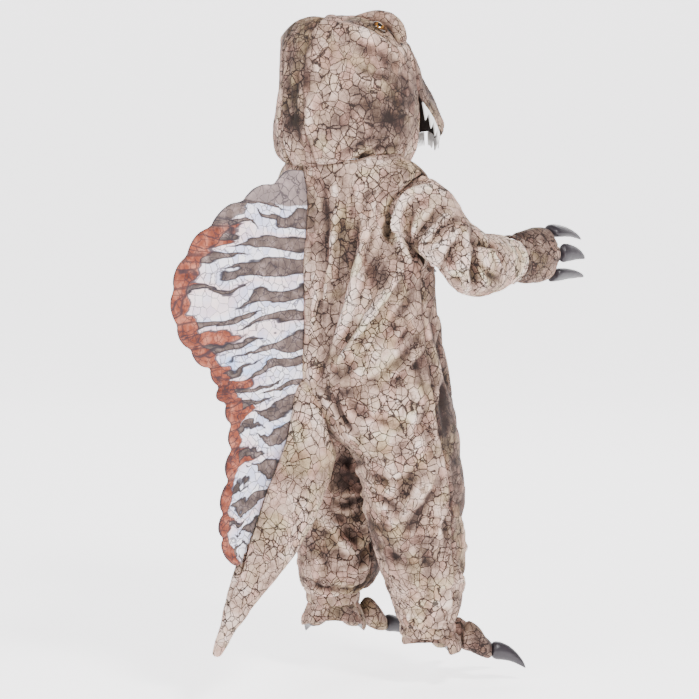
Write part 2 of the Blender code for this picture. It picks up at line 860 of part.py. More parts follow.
def make_ankles():
    """Casings round the ankles."""
    down = Vector((0, 0, -1))
    for side, word in SIDES:
        z, middle_x, middle_y, half_width, half_depth = LEGS[side][-1]
        top = Vector((side * middle_x, middle_y, z - SEAM))
        bottom = top + down * CASING_LENGTH
        radius = min(half_width, half_depth)
        casing(f"ankle_casing_{word}", top, down, bottom, down, radius, Vector((1, 0, 0)))


def make_wrist(side, word, sleeve):
    """Casing, padded cover and claws of one hand."""
    ring = sleeve[-1]
    middle = sum(ring, Vector()) / len(ring)
    before = sum(sleeve[-2], Vector()) / len(ring)
    axis = (ring[0] - middle).cross(ring[4] - middle).normalized()
    axis *= 1 if axis.dot(middle - before) > 0 else -1
    turn = mirrored(WRIST_TURN, side)
    start = middle + axis * 1.5 * SEAM
    end = start + (axis + turn).normalized() * CASING_LENGTH
    radius = SLEEVE[-1][4] - CASING_TUCK
    casing(f"wrist_casing_{word}", start, axis, end, turn, radius, Vector((0, 0, 1)))
    make_cover(side, word, end + turn * SEAM, turn)


def cover_point(side, start, turn, f, angle, lift):
    """Point of the hand cover: angle from its outer side, up positive."""
    up = (Vector((0, 0, 1)) - turn * turn.z).normalized()
    outward = turn.cross(up) * side
    outward *= 1 if outward.x * side > 0 else -1
    half_height, half_width = table_at(COVER, f)
    way = outward * math.cos(angle) * (half_width + lift) + up * math.sin(angle) * (half_height + lift)
    return start + turn * COVER_LENGTH * f + way


def make_cover(side, word, start, turn):
    """Padded flap over the back of the hand, with three claws on its end."""
    columns = 4 * COVER_SECTIONS
    inner, outer = [], []
    for r in range(COVER_ROWS + 1):
        f = r / COVER_ROWS
        low, high = [], []
        for c in range(columns + 1):
            angle = COVER_SPREAD * (1 - 2 * c / columns)
            pad = abs(math.sin(math.pi * COVER_SECTIONS * c / columns))
            end_fade = 1 - 0.35 * (2 * f - 1) ** 4
            low.append(cover_point(side, start, turn, f, angle, 0))
            high.append(cover_point(side, start, turn, f, angle, COVER_EDGE + COVER_PAD * pad * end_fade))
        inner.append(low)
        outer.append(high)
    wall_object(f"hand_cover_{word}", inner, outer, PRINT)
    for k in range(COVER_SECTIONS):
        angle = COVER_SPREAD * (1 - (2 * k + 1) / COVER_SECTIONS)
        base = cover_point(side, start, turn, 1, angle, COVER_CLAW_LIFT) + turn * SEAT_GAP
        around = cover_point(side, start, turn, 1, angle + 0.05, COVER_CLAW_LIFT) - base
        around = (around - turn * around.dot(turn)).normalized()
        make_claw(f"hand_claw_{word}_{k + 1}", base, turn, around, HAND_CLAW)


def make_claw(name, base, ahead, around, size):
    """Curved vinyl claw on a planar base."""
    length, half_around, half_thick = size
    across = ahead.cross(around).normalized()
    rings = []
    for f, share, drop in CLAW:
        middle = base + ahead * length * f - Vector((0, 0, length * drop))
        ring = []
        for k in range(CLAW_SIDES):
            angle = 2 * math.pi * k / CLAW_SIDES
            way = around * math.cos(angle) * half_around + across * math.sin(angle) * half_thick
            ring.append(middle + way * share)
        rings.append(ring)
    tip = base + ahead * length - Vector((0, 0, length * CLAW_TIP_DROP))
    points = [p for ring in rings for p in ring] + [tip, base]
    count = CLAW_SIDES
    faces = []
    for a, b, c, d in cell_faces(len(rings), count, True):
        faces += [(a, b, c), (a, c, d)]
    last = (len(rings) - 1) * count
    for k in range(count):
        faces.append((last + k, last + (k + 1) % count, len(points) - 2))
        faces.append((k, (k + 1) % count, len(points) - 1))
    make_object(name, points, faces, VINYL)


def make_flap(side, word, ankle, cover_z, turn):
    """Instep flap that hangs from one ankle casing."""
    cuff_z = LEGS[side][-1][0] - CASING_LENGTH - 2 * SEAM
    inner, outer = [], []
    for c in range(FLAP_COLUMNS + 1):
        angle = turn + FLAP_SPREAD * (1 - 2 * c / FLAP_COLUMNS)
        way = Vector((math.sin(angle), -math.cos(angle), 0))
        low, high = [], []
        for k, (reach, drop, depth) in enumerate(FLAP):
            z = cuff_z if k == 0 else cover_z + drop
            low.append(ankle + way * (reach - FLAP_HALF_WALL) + Vector((0, 0, z - depth)))
            high.append(ankle + way * (reach + FLAP_HALF_WALL) + Vector((0, 0, z)))
        inner.append(low)
        outer.append(high)
    wall_object(f"foot_flap_{word}", inner, outer, PRINT)


def make_toe(name, ankle, cover_z, way):
    """Stuffed toe that points away from the ankle."""
    across = Vector((0, 0, 1)).cross(way)
    rings = []
    for reach, drop, half_height, half_width in TOE:
        middle = ankle + way * reach + Vector((0, 0, cover_z + drop))
        ring = []
        for n in range(TOE_SIDES):
            turn = 2 * math.pi * n / TOE_SIDES
            up = Vector((0, 0, math.sin(turn) * half_height))
            ring.append(middle + across * math.cos(turn) * half_width + up)
        rings.append(ring)
    tube_object(name, rings, PRINT)


def make_foot(side, word):
    """Instep flap, stuffed toes and claws under one ankle."""
    ankle = Vector((side * LEGS[side][-1][1], LEGS[side][-1][2], 0))
    cover_z, directions = FOOT[side]
    turns = [math.radians(degrees) * side for degrees in directions]
    make_flap(side, word, ankle, cover_z, turns[1])
    reach, drop = TOE[-1][:2]
    for k, turn in enumerate(turns, 1):
        way = Vector((math.sin(turn), -math.cos(turn), 0))
        make_toe(f"toe_{word}_{k}", ankle, cover_z, way)
        base = ankle + way * (reach + SEAT_GAP) + Vector((0, 0, cover_z + drop))
        make_claw(f"foot_claw_{word}_{k}", base, way, Vector((0, 0, 1)), FOOT_CLAW)


def make_brow(side, word, hood):
    """Stuffed brow roll, seated on the hood."""
    rings = []
    for r in range(BROW_ROWS + 1):
        f = r / BROW_ROWS
        x, y, z, radius = table_at(BROW, f)
        axis = Vector(table_at(BROW, f + 0.03)[:3]) - Vector(table_at(BROW, f - 0.03)[:3])
        axis = mirrored(axis.normalized(), side)
        place, normal, _, _ = hood.find_nearest(mirrored((x, y, z), side))
        across = axis.cross(normal).normalized()
        up = across.cross(axis)
        middle = place + normal * radius * BROW_SEAT
        ring = []
        for k in range(BROW_SIDES):
            angle = 2 * math.pi * k / BROW_SIDES
            point = middle + (across * math.cos(angle) + up * math.sin(angle)) * radius
            ring.append(seated(point, hood, BROW_GAP))
        rings.append(ring)
    tube_object(f"brow_{word}", rings, PRINT)


def make_eye(side, word, hood):
    """Domed eye button, seated on the hood."""
    place, normal, _, _ = hood.find_nearest(mirrored(EYE_PLACE, side))
    across = normal.cross(Vector((0, 0, 1))).normalized()
    other = normal.cross(across)
    rings = []
    for share, rise in EYE_RINGS:
        ring = []
        for k in range(EYE_SIDES):
            angle = 2 * math.pi * k / EYE_SIDES
            way = across * math.cos(angle) + other * math.sin(angle)
            surface, out, _, _ = hood.find_nearest(place + way * EYE_RADIUS * share)
            ring.append(surface + out * (2 * SEAT_GAP + EYE_RISE * rise))
        rings.append(ring)
    tube_object(f"eye_{word}", rings, AMBER, place + normal * 2 * SEAT_GAP)


def lip_path(side, jaw, normals):
    """The lip of one side: its points, the way down past them and their normals."""
    columns = [0] * (JAW_ROWS + 1) + list(range(1, HOOD_COLUMNS + 1))
    rows = list(range(JAW_ROWS + 1)) + [JAW_ROWS] * HOOD_COLUMNS
    path = []
    for r, c in list(zip(rows, columns))[1:]:
        inside = c + 1 if r < JAW_ROWS else c
        above = r if r < JAW_ROWS else r - 1
        if side == LEFT:
            c, inside = -1 - c, -1 - inside
        point = jaw[r][c]
        down = (point - jaw[above][inside]).normalized()
        path.append((point, down, normals[place_key(point)]))
    return path


def make_teeth(side, word, jaw, normals):
    """Felt strip with pointed teeth, sewn to the lip of one side."""
    path = lip_path(side, jaw, normals)
    places = []
    for k, here in enumerate(path):
        places.append((*here, TOOTH_ROOT))
        if k < len(path) - 1:
            middle = [(a + b) / 2 for a, b in zip(here, path[k + 1])]
            places.append((*middle, TOOTH_LENGTH))
    top, bottom = [], []
    for point, down, _, drop in places:
        start = point + down * SEAM
        top.append(start)
        bottom.append(start + (down + Vector((0, 0, -1))).normalized() * drop)
    out = [normal * FELT for _, _, normal, _ in places]
    outer = [[p + n for p, n in zip(row, out)] for row in (top, bottom)]
    wall_object(f"teeth_{word}", [top, bottom], outer, FELT_WHITE)


def make_tail(body):
    """Stuffed tail in two halves, seated on the seat."""
    sections = []
    first, last = TAIL[0][0], TAIL[-1][0]
    for r in range(TAIL_ROWS + 1):
        z = first + (last - first) * r / TAIL_ROWS
        sections.append((z, *table_at(TAIL, z)))
    made = []
    for side, word in SIDES:
        rings = []
        for z, middle_y, half_depth, half_width in sections:
            ring = []
            for k in range(TAIL_SIDES + 1):
                angle = math.pi * k / TAIL_SIDES
                x = side * max(half_width * math.sin(angle), SEAM / 2)
                ring.append(off_the_seat(Vector((x, middle_y + half_depth * math.cos(angle), z)), body))
            rings.append(ring)
        made.append(tube_object(f"tail_{word}", rings, PRINT))
    return made


def face_behind(surface, x, z, reach, way):
    """Y of a surface as met from behind (way -1) or in front (way 1), highest within a reach."""
    found = []
    beside = SEAM * 2
    for dx, dz in itertools.product((-reach, -beside, beside, reach), (-reach, 0, reach)):
        hit = surface.ray_cast(Vector((x + dx, -FAR * way, z + dz)), Vector((0, way, 0)))[0]
        if hit is not None:
            found.append(hit.y)
    if not found:
        return None
    return min(found) if way > 0 else max(found)


def off_the_seat(point, body):
    """Move a point back until it clears the body panels."""
    y = face_behind(body, point.x, point.z, TAIL_REACH, -1)
    if y is None or point.y >= y + SEAT_GAP:
        return point
    return Vector((point.x, y + SEAT_GAP, point.z))


def sail_edge():
    """Scalloped edge: reach, height and seam height of each ray."""
    rays = []
    for (reach, z, root), (next_reach, next_z, next_root) in zip(SAIL_JOINS, SAIL_JOINS[1:]):
        chord = Vector((next_reach - reach, next_z - z))
        out = Vector((-chord.y, chord.x))
        for k in range(SAIL_STEPS):
            f = k / SAIL_STEPS
            bulge = SAIL_BULGE * math.sin(math.pi * f)
            rays.append((reach + chord.x * f + out.x * bulge, z + chord.y * f + out.y * bulge,
                         root + (next_root - root) * f))
    rays.append(SAIL_JOINS[-1])
    return rays


def make_sail(carrier):
    """Padded sail that stands on the centre back seam and on the tail."""
    plane = Vector((math.sin(SAIL_LEAN), math.cos(SAIL_LEAN), 0))
    across = Vector((plane.y, -plane.x, 0))
    near, far = [], []
    for reach, z, root in sail_edge():
        start = Vector((0, face_behind(carrier, 2, root, SAIL_REACH, -1), root))
        end = Vector((0, face_behind(carrier, 2, min(z, root), SAIL_REACH, -1), z)) + plane * reach
        for half, rows in ((-0.5, near), (0.5, far)):
            row = []
            for c in range(SAIL_COLUMNS + 1):
                f = c / SAIL_COLUMNS
                point = start.lerp(end, f) + across * SAIL_THICKNESS[c] * half
                if c == 0:
                    point.y = face_behind(carrier, 0, root, SAIL_THICKNESS[0], -1) + SEAT_GAP
                row.append(point)
            rows.append(row)
    wall_object("sail", near, far, SAIL_CLOTH)


def make_placket(front):
    """Plain closing strip over the centre front."""
    inner, outer = [], []
    for r in range(PLACKET_ROWS + 1):
        z = PLACKET_TOP + (PLACKET_BOTTOM - PLACKET_TOP) * r / PLACKET_ROWS
        low, high = [], []
        for x in (-1.0, -0.45, 0.45, 1.0):
            x *= PLACKET_HALF_WIDTH
            y = face_behind(front, x, z, 8, 1) - SEAT_GAP
            low.append(Vector((x, y, z)))
            high.append(Vector((x, y - WALL, z)))
        inner.append(low)
        outer.append(high)
    wall_object("front_placket", inner, outer, PRINT)


def main():
    """Build the whole costume."""
    for thing in list(bpy.data.objects):
        bpy.data.objects.remove(thing)
    sheets = build_cloth()
    cloth, normals = make_cloth(sheets)
    body = surface_of([cloth[f"{kind}_{word}"] for kind in ("back", "front") for _, word in SIDES])
    hood = surface_of([cloth[name] for name in cloth if name.startswith(("hood", "upper_jaw"))])
    tail = make_tail(body)
    make_sail(surface_of([cloth["back_right"], cloth["back_left"]], tail))
    make_placket(body)
    make_ankles()
    for side, word in SIDES:
        make_wrist(side, word, sheets[f"sleeve_{word}"][0])
        make_foot(side, word)
        make_brow(side, word, hood)
        make_eye(side, word, hood)
        make_teeth(side, word, sheets["upper_jaw"][0], normals)


main()
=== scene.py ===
# %% [markdown]
# Dinosaur costume
# This lesson dresses the CAD frame of a child's hooded jumpsuit with a padded sail down its back.
# The frame gives the true shape of every sewn panel. Each panel gets a finer skin of cloth here,
# with its creases, its sewn seams and its print. The frame itself is never changed.

# %% Load the frame
import math

import bmesh
import bpy
import numpy as np
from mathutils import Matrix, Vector, kdtree, noise
from mathutils.bvhtree import BVHTree


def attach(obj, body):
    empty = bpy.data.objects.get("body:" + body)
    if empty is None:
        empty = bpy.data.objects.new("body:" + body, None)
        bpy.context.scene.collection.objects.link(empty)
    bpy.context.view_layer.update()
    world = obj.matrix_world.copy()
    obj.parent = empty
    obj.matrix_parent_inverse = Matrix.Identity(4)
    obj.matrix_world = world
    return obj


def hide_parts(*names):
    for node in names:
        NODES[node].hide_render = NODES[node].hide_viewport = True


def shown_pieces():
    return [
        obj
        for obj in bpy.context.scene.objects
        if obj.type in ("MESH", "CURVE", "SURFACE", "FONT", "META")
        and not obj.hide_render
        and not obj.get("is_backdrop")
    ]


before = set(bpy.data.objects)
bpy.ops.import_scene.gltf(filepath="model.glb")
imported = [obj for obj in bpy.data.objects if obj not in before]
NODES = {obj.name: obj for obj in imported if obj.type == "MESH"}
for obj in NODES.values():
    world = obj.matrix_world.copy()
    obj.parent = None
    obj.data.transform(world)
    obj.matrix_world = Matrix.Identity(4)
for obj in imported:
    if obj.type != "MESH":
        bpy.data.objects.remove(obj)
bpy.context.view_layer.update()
MM = 0.001
SIDES = ((-1, "right"), (1, "left"))
print("CAD nodes", len(NODES))

# %% [markdown]
# The camera
# It stands behind the wearer's right shoulder, as the photographer did, a little above the middle
# of the costume. A long lens keeps the hood and the ankles in the same proportion.

# %% Place the camera
FRAME_PIXELS = 699
LENS = 109.9
SENSOR = 36.0
AIM = Vector((4.8, 4.8, -254)) * MM
DISTANCE = 3.2
AZIMUTH = math.radians(225)
ELEVATION = math.radians(4)

ahead = Vector((
    -math.sin(AZIMUTH) * math.cos(ELEVATION),
    math.cos(AZIMUTH) * math.cos(ELEVATION),
    -math.sin(ELEVATION),
))
camera_data = bpy.data.cameras.new("camera")
camera_data.lens = LENS
camera_data.sensor_width = SENSOR
camera = bpy.data.objects.new("camera", camera_data)
camera.location = AIM - ahead * DISTANCE
camera.rotation_euler = ahead.to_track_quat("-Z", "Y").to_euler()
bpy.context.collection.objects.link(camera)
bpy.context.scene.camera = camera
to_right = ahead.cross(Vector((0, 0, 1))).normalized()
to_top = to_right.cross(ahead)


def sight_line(u, v):
    """Direction from the camera through a place in the frame, in pixels from its top left."""
    across = (u / FRAME_PIXELS - 0.5) * SENSOR / LENS
    upward = (0.5 - v / FRAME_PIXELS) * SENSOR / LENS
    return (ahead + to_right * across + to_top * upward).normalized()


print("camera at", [round(v, 3) for v in camera.location])

# %% [markdown]
# The studio
# A sweep of white paper runs from the floor up into the back wall, so no corner shows. It glows a
# little, as paper does when it has lamps of its own. One soft lamp stands high on the wearer's
# right and models the folds. A second one behind the wearer, on the camera's left, fills them.
# A third serves the front of the costume.

# %% Build the studio
FLOOR_HEIGHT = -762 * MM
PAPER_HALF_WIDTH = 14.0
PAPER_NEAR, PAPER_BEND, PAPER_RISE = -9.0, 4.2, 9.0
BEND_RADIUS = 2.5
PAPER_GLOW = 2.35
ROOM_LIGHT = 0.22
# Name, place and size in metres, power in watts, colour
LAMPS = (
    ("lamp_key", (-2.3, 0.7, 2.0), 0.6, 150, (1.0, 0.985, 0.97)),
    ("lamp_back", (-0.1, 2.7, 1.4), 0.9, 50, (0.98, 0.985, 1.0)),
    ("lamp_front", (1.6, -2.4, 1.6), 1.6, 40, (1.0, 1.0, 1.0)),
)


def soft_lamp(name, place, size, power, colour):
    """A square lamp that looks at the costume."""
    data = bpy.data.lights.new(name, "AREA")
    data.shape = "SQUARE"
    data.size = size
    data.energy = power
    data.color = colour
    lamp = bpy.data.objects.new(name, data)
    lamp.location = place
    lamp.rotation_euler = (AIM - Vector(place)).to_track_quat("-Z", "Y").to_euler()
    bpy.context.collection.objects.link(lamp)


bpy.ops.object.select_all(action="DESELECT")
bpy.ops.mesh.primitive_grid_add(x_subdivisions=2, y_subdivisions=80, size=2)
paper = bpy.context.object
paper.name = "paper_sweep"
level_ahead = Vector((ahead.x, ahead.y, 0)).normalized()
level_right = Vector((to_right.x, to_right.y, 0))
for point in paper.data.vertices:
    run = PAPER_NEAR + (point.co.y + 1) / 2 * (PAPER_BEND - PAPER_NEAR + PAPER_RISE)
    past = max(0.0, run - PAPER_BEND)
    turn = min(past / BEND_RADIUS, math.pi / 2)
    out = min(run, PAPER_BEND) + BEND_RADIUS * math.sin(turn)
    up = BEND_RADIUS * (1 - math.cos(turn)) + max(0.0, past - BEND_RADIUS * math.pi / 2)
    point.co = level_right * point.co.x * PAPER_HALF_WIDTH + level_ahead * out
    point.co.z = FLOOR_HEIGHT + up
bpy.ops.object.shade_smooth()
sheet_paint = bpy.data.materials.new("paper")
sheet_paint.use_nodes = True
for label, value in (
    ("Base Color", (0.80, 0.79, 0.80, 1)),
    ("Roughness", 0.8),
    ("Emission Color", (1.0, 0.985, 0.995, 1)),
    ("Emission Strength", PAPER_GLOW),
):
    sheet_paint.node_tree.nodes["Principled BSDF"].inputs[label].default_value = value
paper.data.materials.append(sheet_paint)
paper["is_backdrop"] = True
world = bpy.data.worlds.new("room")
world.use_nodes = True
background = world.node_tree.nodes["Background"]
background.inputs["Color"].default_value = (0.97, 0.97, 1.0, 1)
background.inputs["Strength"].default_value = ROOM_LIGHT
bpy.context.scene.world = world
for lamp in LAMPS:
    soft_lamp(*lamp)
print("floor at", FLOOR_HEIGHT, "lamps", len(LAMPS))

# %% [markdown]
# Working on a panel
# A CAD wall has an outer face, an inner face and a thin rim. Cloth is worked as one sheet, so the
# outer face alone is kept, turned to quads and smoothed. It gets its thickness back at the end.

# %% Tools for the panels
RIM_WIDTH = 2.7 * MM


def only(*things):
    """Select these objects alone, the first one active."""
    bpy.ops.object.select_all(action="DESELECT")
    for thing in things:
        thing.select_set(True)
    bpy.context.view_layer.objects.active = things[0]


def copied(node, name):
    """The mesh of a CAD node as a new piece, with its loose triangles merged."""
    mesh = NODES[node].data.copy()
    mesh.materials.clear()
    piece = bpy.data.objects.new(name, mesh)
    bpy.context.collection.objects.link(piece)
    only(piece)
    bpy.ops.mesh.customdata_custom_splitnormals_clear()
    bpy.ops.object.mode_set(mode="EDIT")
    bpy.ops.mesh.select_all(action="SELECT")
    bpy.ops.mesh.remove_doubles(threshold=0.01 * MM)
    bpy.ops.object.mode_set(mode="OBJECT")
    return piece


def quads(piece):
    """Join pairs of triangles into quads."""
    only(piece)
    bpy.ops.object.mode_set(mode="EDIT")
    bpy.ops.mesh.select_all(action="SELECT")
    bpy.ops.mesh.tris_convert_to_quads(
        face_threshold=math.radians(75), shape_threshold=math.radians(120)
    )
    bpy.ops.object.mode_set(mode="OBJECT")


def smoothed(piece, levels):
    """Subdivide a piece smoothly, with its corners kept."""
    only(piece)
    finer = piece.modifiers.new("finer", "SUBSURF")
    finer.levels = finer.render_levels = levels
    finer.boundary_smooth = "PRESERVE_CORNERS"
    bpy.ops.object.modifier_apply(modifier=finer.name)


def islands(bm):
    """The connected groups of faces of a mesh."""
    left = set(bm.faces)
    while left:
        start = left.pop()
        group, edge = [start], [start]
        while edge:
            for link in edge.pop().edges:
                for face in link.link_faces:
                    if face in left:
                        left.remove(face)
                        group.append(face)
                        edge.append(face)
        yield group


def outer_sheet(node, name, middle):
    """The outer face of a CAD wall as an open sheet of quads."""
    piece = copied(node, name)
    bm = bmesh.new()
    bm.from_mesh(piece.data)
    rims = [f for f in bm.faces if min(e.calc_length() for e in f.edges) < RIM_WIDTH]
    bmesh.ops.delete(bm, geom=rims, context="FACES")
    middle = Vector(middle) * MM

    def outwardness(group):
        return sum(f.calc_area() * f.normal.dot(f.calc_center_median() - middle) for f in group)

    groups = sorted(islands(bm), key=outwardness)
    bmesh.ops.delete(bm, geom=[f for group in groups[:-1] for f in group], context="FACES")
    bm.to_mesh(piece.data)
    bm.free()
    quads(piece)
    return piece


def coordinates(piece):
    """Places and normals of a piece's points, in millimetres."""
    count = len(piece.data.vertices)
    places, normals = np.empty(count * 3), np.empty(count * 3)
    piece.data.vertices.foreach_get("co", places)
    piece.data.vertices.foreach_get("normal", normals)
    return places.reshape(-1, 3) / MM, normals.reshape(-1, 3)


def put_coordinates(piece, places):
    """Write the points back, given in millimetres."""
    piece.data.vertices.foreach_set("co", (places * MM).ravel())
    piece.data.update()


def rim_points(piece):
    """Numbers of the points on the open edge of a sheet."""
    bm = bmesh.new()
    bm.from_mesh(piece.data)
    found = [v.index for v in bm.verts if v.is_boundary]
    bm.free()
    return np.array(found, dtype=int)


def point_tree(points):
    """A search tree over some points, numbered in their order."""
    tree = kdtree.KDTree(len(points))
    for k, point in enumerate(points):
        tree.insert(point, k)
    tree.balance()
    return tree


def own_axis(places, which):
    """The middle of a cloud of points and one of its three main axes, the longest first."""
    middle = places.mean(axis=0)
    return middle, np.linalg.svd(places - middle, full_matrices=False)[2][which]


def bell(distance, width, power=2):
    """One in the middle, falling softly to nought beyond a width."""
    return np.exp(-np.abs(distance / width) ** power)


def smooth_step(values, low, high):
    """Nought below, one above, eased between."""
    share = np.clip((values - low) / (high - low), 0, 1)
    return share * share * (3 - 2 * share)
# %% [markdown]
# The skins
# The body is four panels that each run from the shoulder to the ankle, with two sleeves. The hood
# has two sides, a strip over the crown and the upper jaw. They are refined together, because
# their creases and seams run on from one to the next.

# %% Refine the panels
SKINS = {
    "back_right": (-50, 0, -240),
    "back_left": (50, 0, -240),
    "front_right": (-50, 0, -240),
    "front_left": (50, 0, -240),
    "sleeve_right": (-150, -90, -110),
    "sleeve_left": (150, -90, -110),
    "hood_right": (0, 20, 130),
    "hood_left": (0, 20, 130),
    "hood_gusset": (0, 20, 130),
    "upper_jaw": (0, -60, 100),
}
SKIN_LEVELS = 3

skins = {}
for node, middle in SKINS.items():
    skins[node] = outer_sheet(node, f"cloth_{node}", middle)
    smoothed(skins[node], SKIN_LEVELS)
print("skin points", {name: len(piece.data.vertices) for name, piece in skins.items()})

# %% [markdown]
# The shape of the hood
# A child's head doesn't fill the hood, so its back hangs straighter than the frame and bags out at
# the nape, the crown dips behind the brows, and the snout is drawn back with its tip lifted. The
# sleeves sink in at the elbow and the wrist. Soft dents do this better than sculpting, because each
# is set by one place in the frame, just outside the outline, and a depth.

# %% Shape the hood
# Place in the frame (u, v); reach and depth in millimetres, negative where it swells
HOOD_DENTS = (
    ((262, 84), 72, 15.0),
    ((262, 150), 44, -9.0),
    ((272, 170), 26, -7.0),
    ((336, 6), 26, 14.0),
    ((352, 30), 22, -3.0),
)
JAW_DENTS = (
    ((440, 78), 34, 13.0),
    ((448, 126), 22, -5.0),
)
SLEEVE_DENTS = (
    ((472, 216), 18, 12.0),
    ((513, 224), 13, 6.0),
    ((511, 294), 13, 5.0),
)
CROWN_WIDTH = 12
JAW_START, JAW_RUN = -90, 80
JAW_BACK, JAW_LIFT = 12, 13


def joined_tree(pieces):
    """One search tree over several pieces, in millimetres."""
    points, faces = [], []
    for piece in pieces:
        shift = len(points)
        points += [v.co / MM for v in piece.data.vertices]
        faces += [[i + shift for i in polygon.vertices] for polygon in piece.data.polygons]
    return BVHTree.FromPolygons(points, faces)


def outline_place(tree, u, v):
    """The place on the cloth that is nearest to a line of sight, with its normal."""
    start, way = camera.location / MM, sight_line(u, v)
    found = [tree.find_nearest(start + way * reach) for reach in range(2700, 3700, 8)]
    place, normal, _, _ = min(found, key=lambda hit: hit[3])
    return np.array(place), np.array(normal)


def draw_jaw_back(places):
    """Shorten the snout and lift its tip."""
    share = np.clip((JAW_START - places[:, 1]) / JAW_RUN, 0, 1.2)
    places[:, 1] += JAW_BACK * share
    places[:, 2] += JAW_LIFT * share ** 2
    return places


def press(names, dents):
    """Push some panels in, or let them swell, on both sides of the costume."""
    tree = joined_tree([skins[name] for name in names])
    for (u, v), reach, depth in dents:
        centre, normal = outline_place(tree, u, v)
        flips = (1,) if abs(centre[0]) < CROWN_WIDTH else (1, -1)
        for flip in flips:
            way = np.array([flip, 1, 1])
            for name in names:
                places, _ = coordinates(skins[name])
                gap = np.linalg.norm(places - centre * way, axis=1)
                places -= np.outer(depth * np.exp(-(gap / reach) ** 2 * 1.6), normal * way)
                put_coordinates(skins[name], places)


put_coordinates(skins["upper_jaw"], draw_jaw_back(coordinates(skins["upper_jaw"])[0]))
press(("hood_right", "hood_left", "hood_gusset"), HOOD_DENTS)
press(("upper_jaw",), JAW_DENTS)
press(("sleeve_right", "sleeve_left"), SLEEVE_DENTS)

# %% [markdown]
# The neck seam
# The hood is sewn to the body all round the neck, so no gap may show there. Each edge is drawn half
# of the way to the other one, and the cloth behind it follows less and less.

# %% Close the neck seam
NECK_REACH, NECK_FADE = 14.0, 12.0


def close_seam(upper, lower):
    """Draw the edges of two groups of panels together to the middle of the gap between them."""
    groups = []
    for names in (upper, lower):
        rims = {name: coordinates(skins[name])[0][rim_points(skins[name])] for name in names}
        groups.append((rims, point_tree(np.concatenate(list(rims.values())))))
    for (rims, _), (_, other) in (groups, groups[::-1]):
        for name, rim in rims.items():
            moves = []
            for point in rim:
                there, _, gap = other.find(point)
                moves.append((np.array(there) - point) * (0.5 if gap < NECK_REACH else 0.0))
            tree = point_tree(rim)
            places = coordinates(skins[name])[0]
            for i, place in enumerate(places):
                _, k, gap = tree.find(place)
                if gap < 3 * NECK_FADE:
                    places[i] = place + moves[k] * bell(gap, NECK_FADE)
            put_coordinates(skins[name], places)


close_seam(("hood_right", "hood_left", "hood_gusset"), ("back_right", "back_left"))

# %% [markdown]
# One surface across the seams
# The panels are moved along their normals later on. Two panels that meet in a seam get the same
# normals there, so they move together and the seam stays shut.

# %% Share the normals across seams
SEAM_REACH = 1.6
costume = joined_tree(skins.values())
sheets = {}
for name, piece in skins.items():
    places, normals = coordinates(piece)
    sheets[name] = {"places": places, "normals": normals, "rim": rim_points(piece), "sewn": []}
rims = [(name, i) for name, sheet in sheets.items() for i in sheet["rim"]]
rim_tree = point_tree([sheets[name]["places"][i] for name, i in rims])
shared = []
for name, i in rims:
    near = [rims[k] for _, k, _ in rim_tree.find_range(sheets[name]["places"][i], SEAM_REACH)]
    total = sum(sheets[n]["normals"][j] for n, j in near)
    shared.append((total / np.linalg.norm(total), any(n != name for n, _ in near)))
for (name, i), (normal, sewn) in zip(rims, shared):
    sheets[name]["normals"][i] = normal
    if sewn:
        sheets[name]["sewn"].append(i)
print("rim points", len(rims))

# %% [markdown]
# Creases
# Big folds are in the CAD already. Here come the narrower ones that make it cloth: a trough with a
# raised lip on one side, never even in length or depth. Those that the camera sees are placed by
# their pixels in the frame, cast onto the cloth. The rest are placed by limb, angle and height.

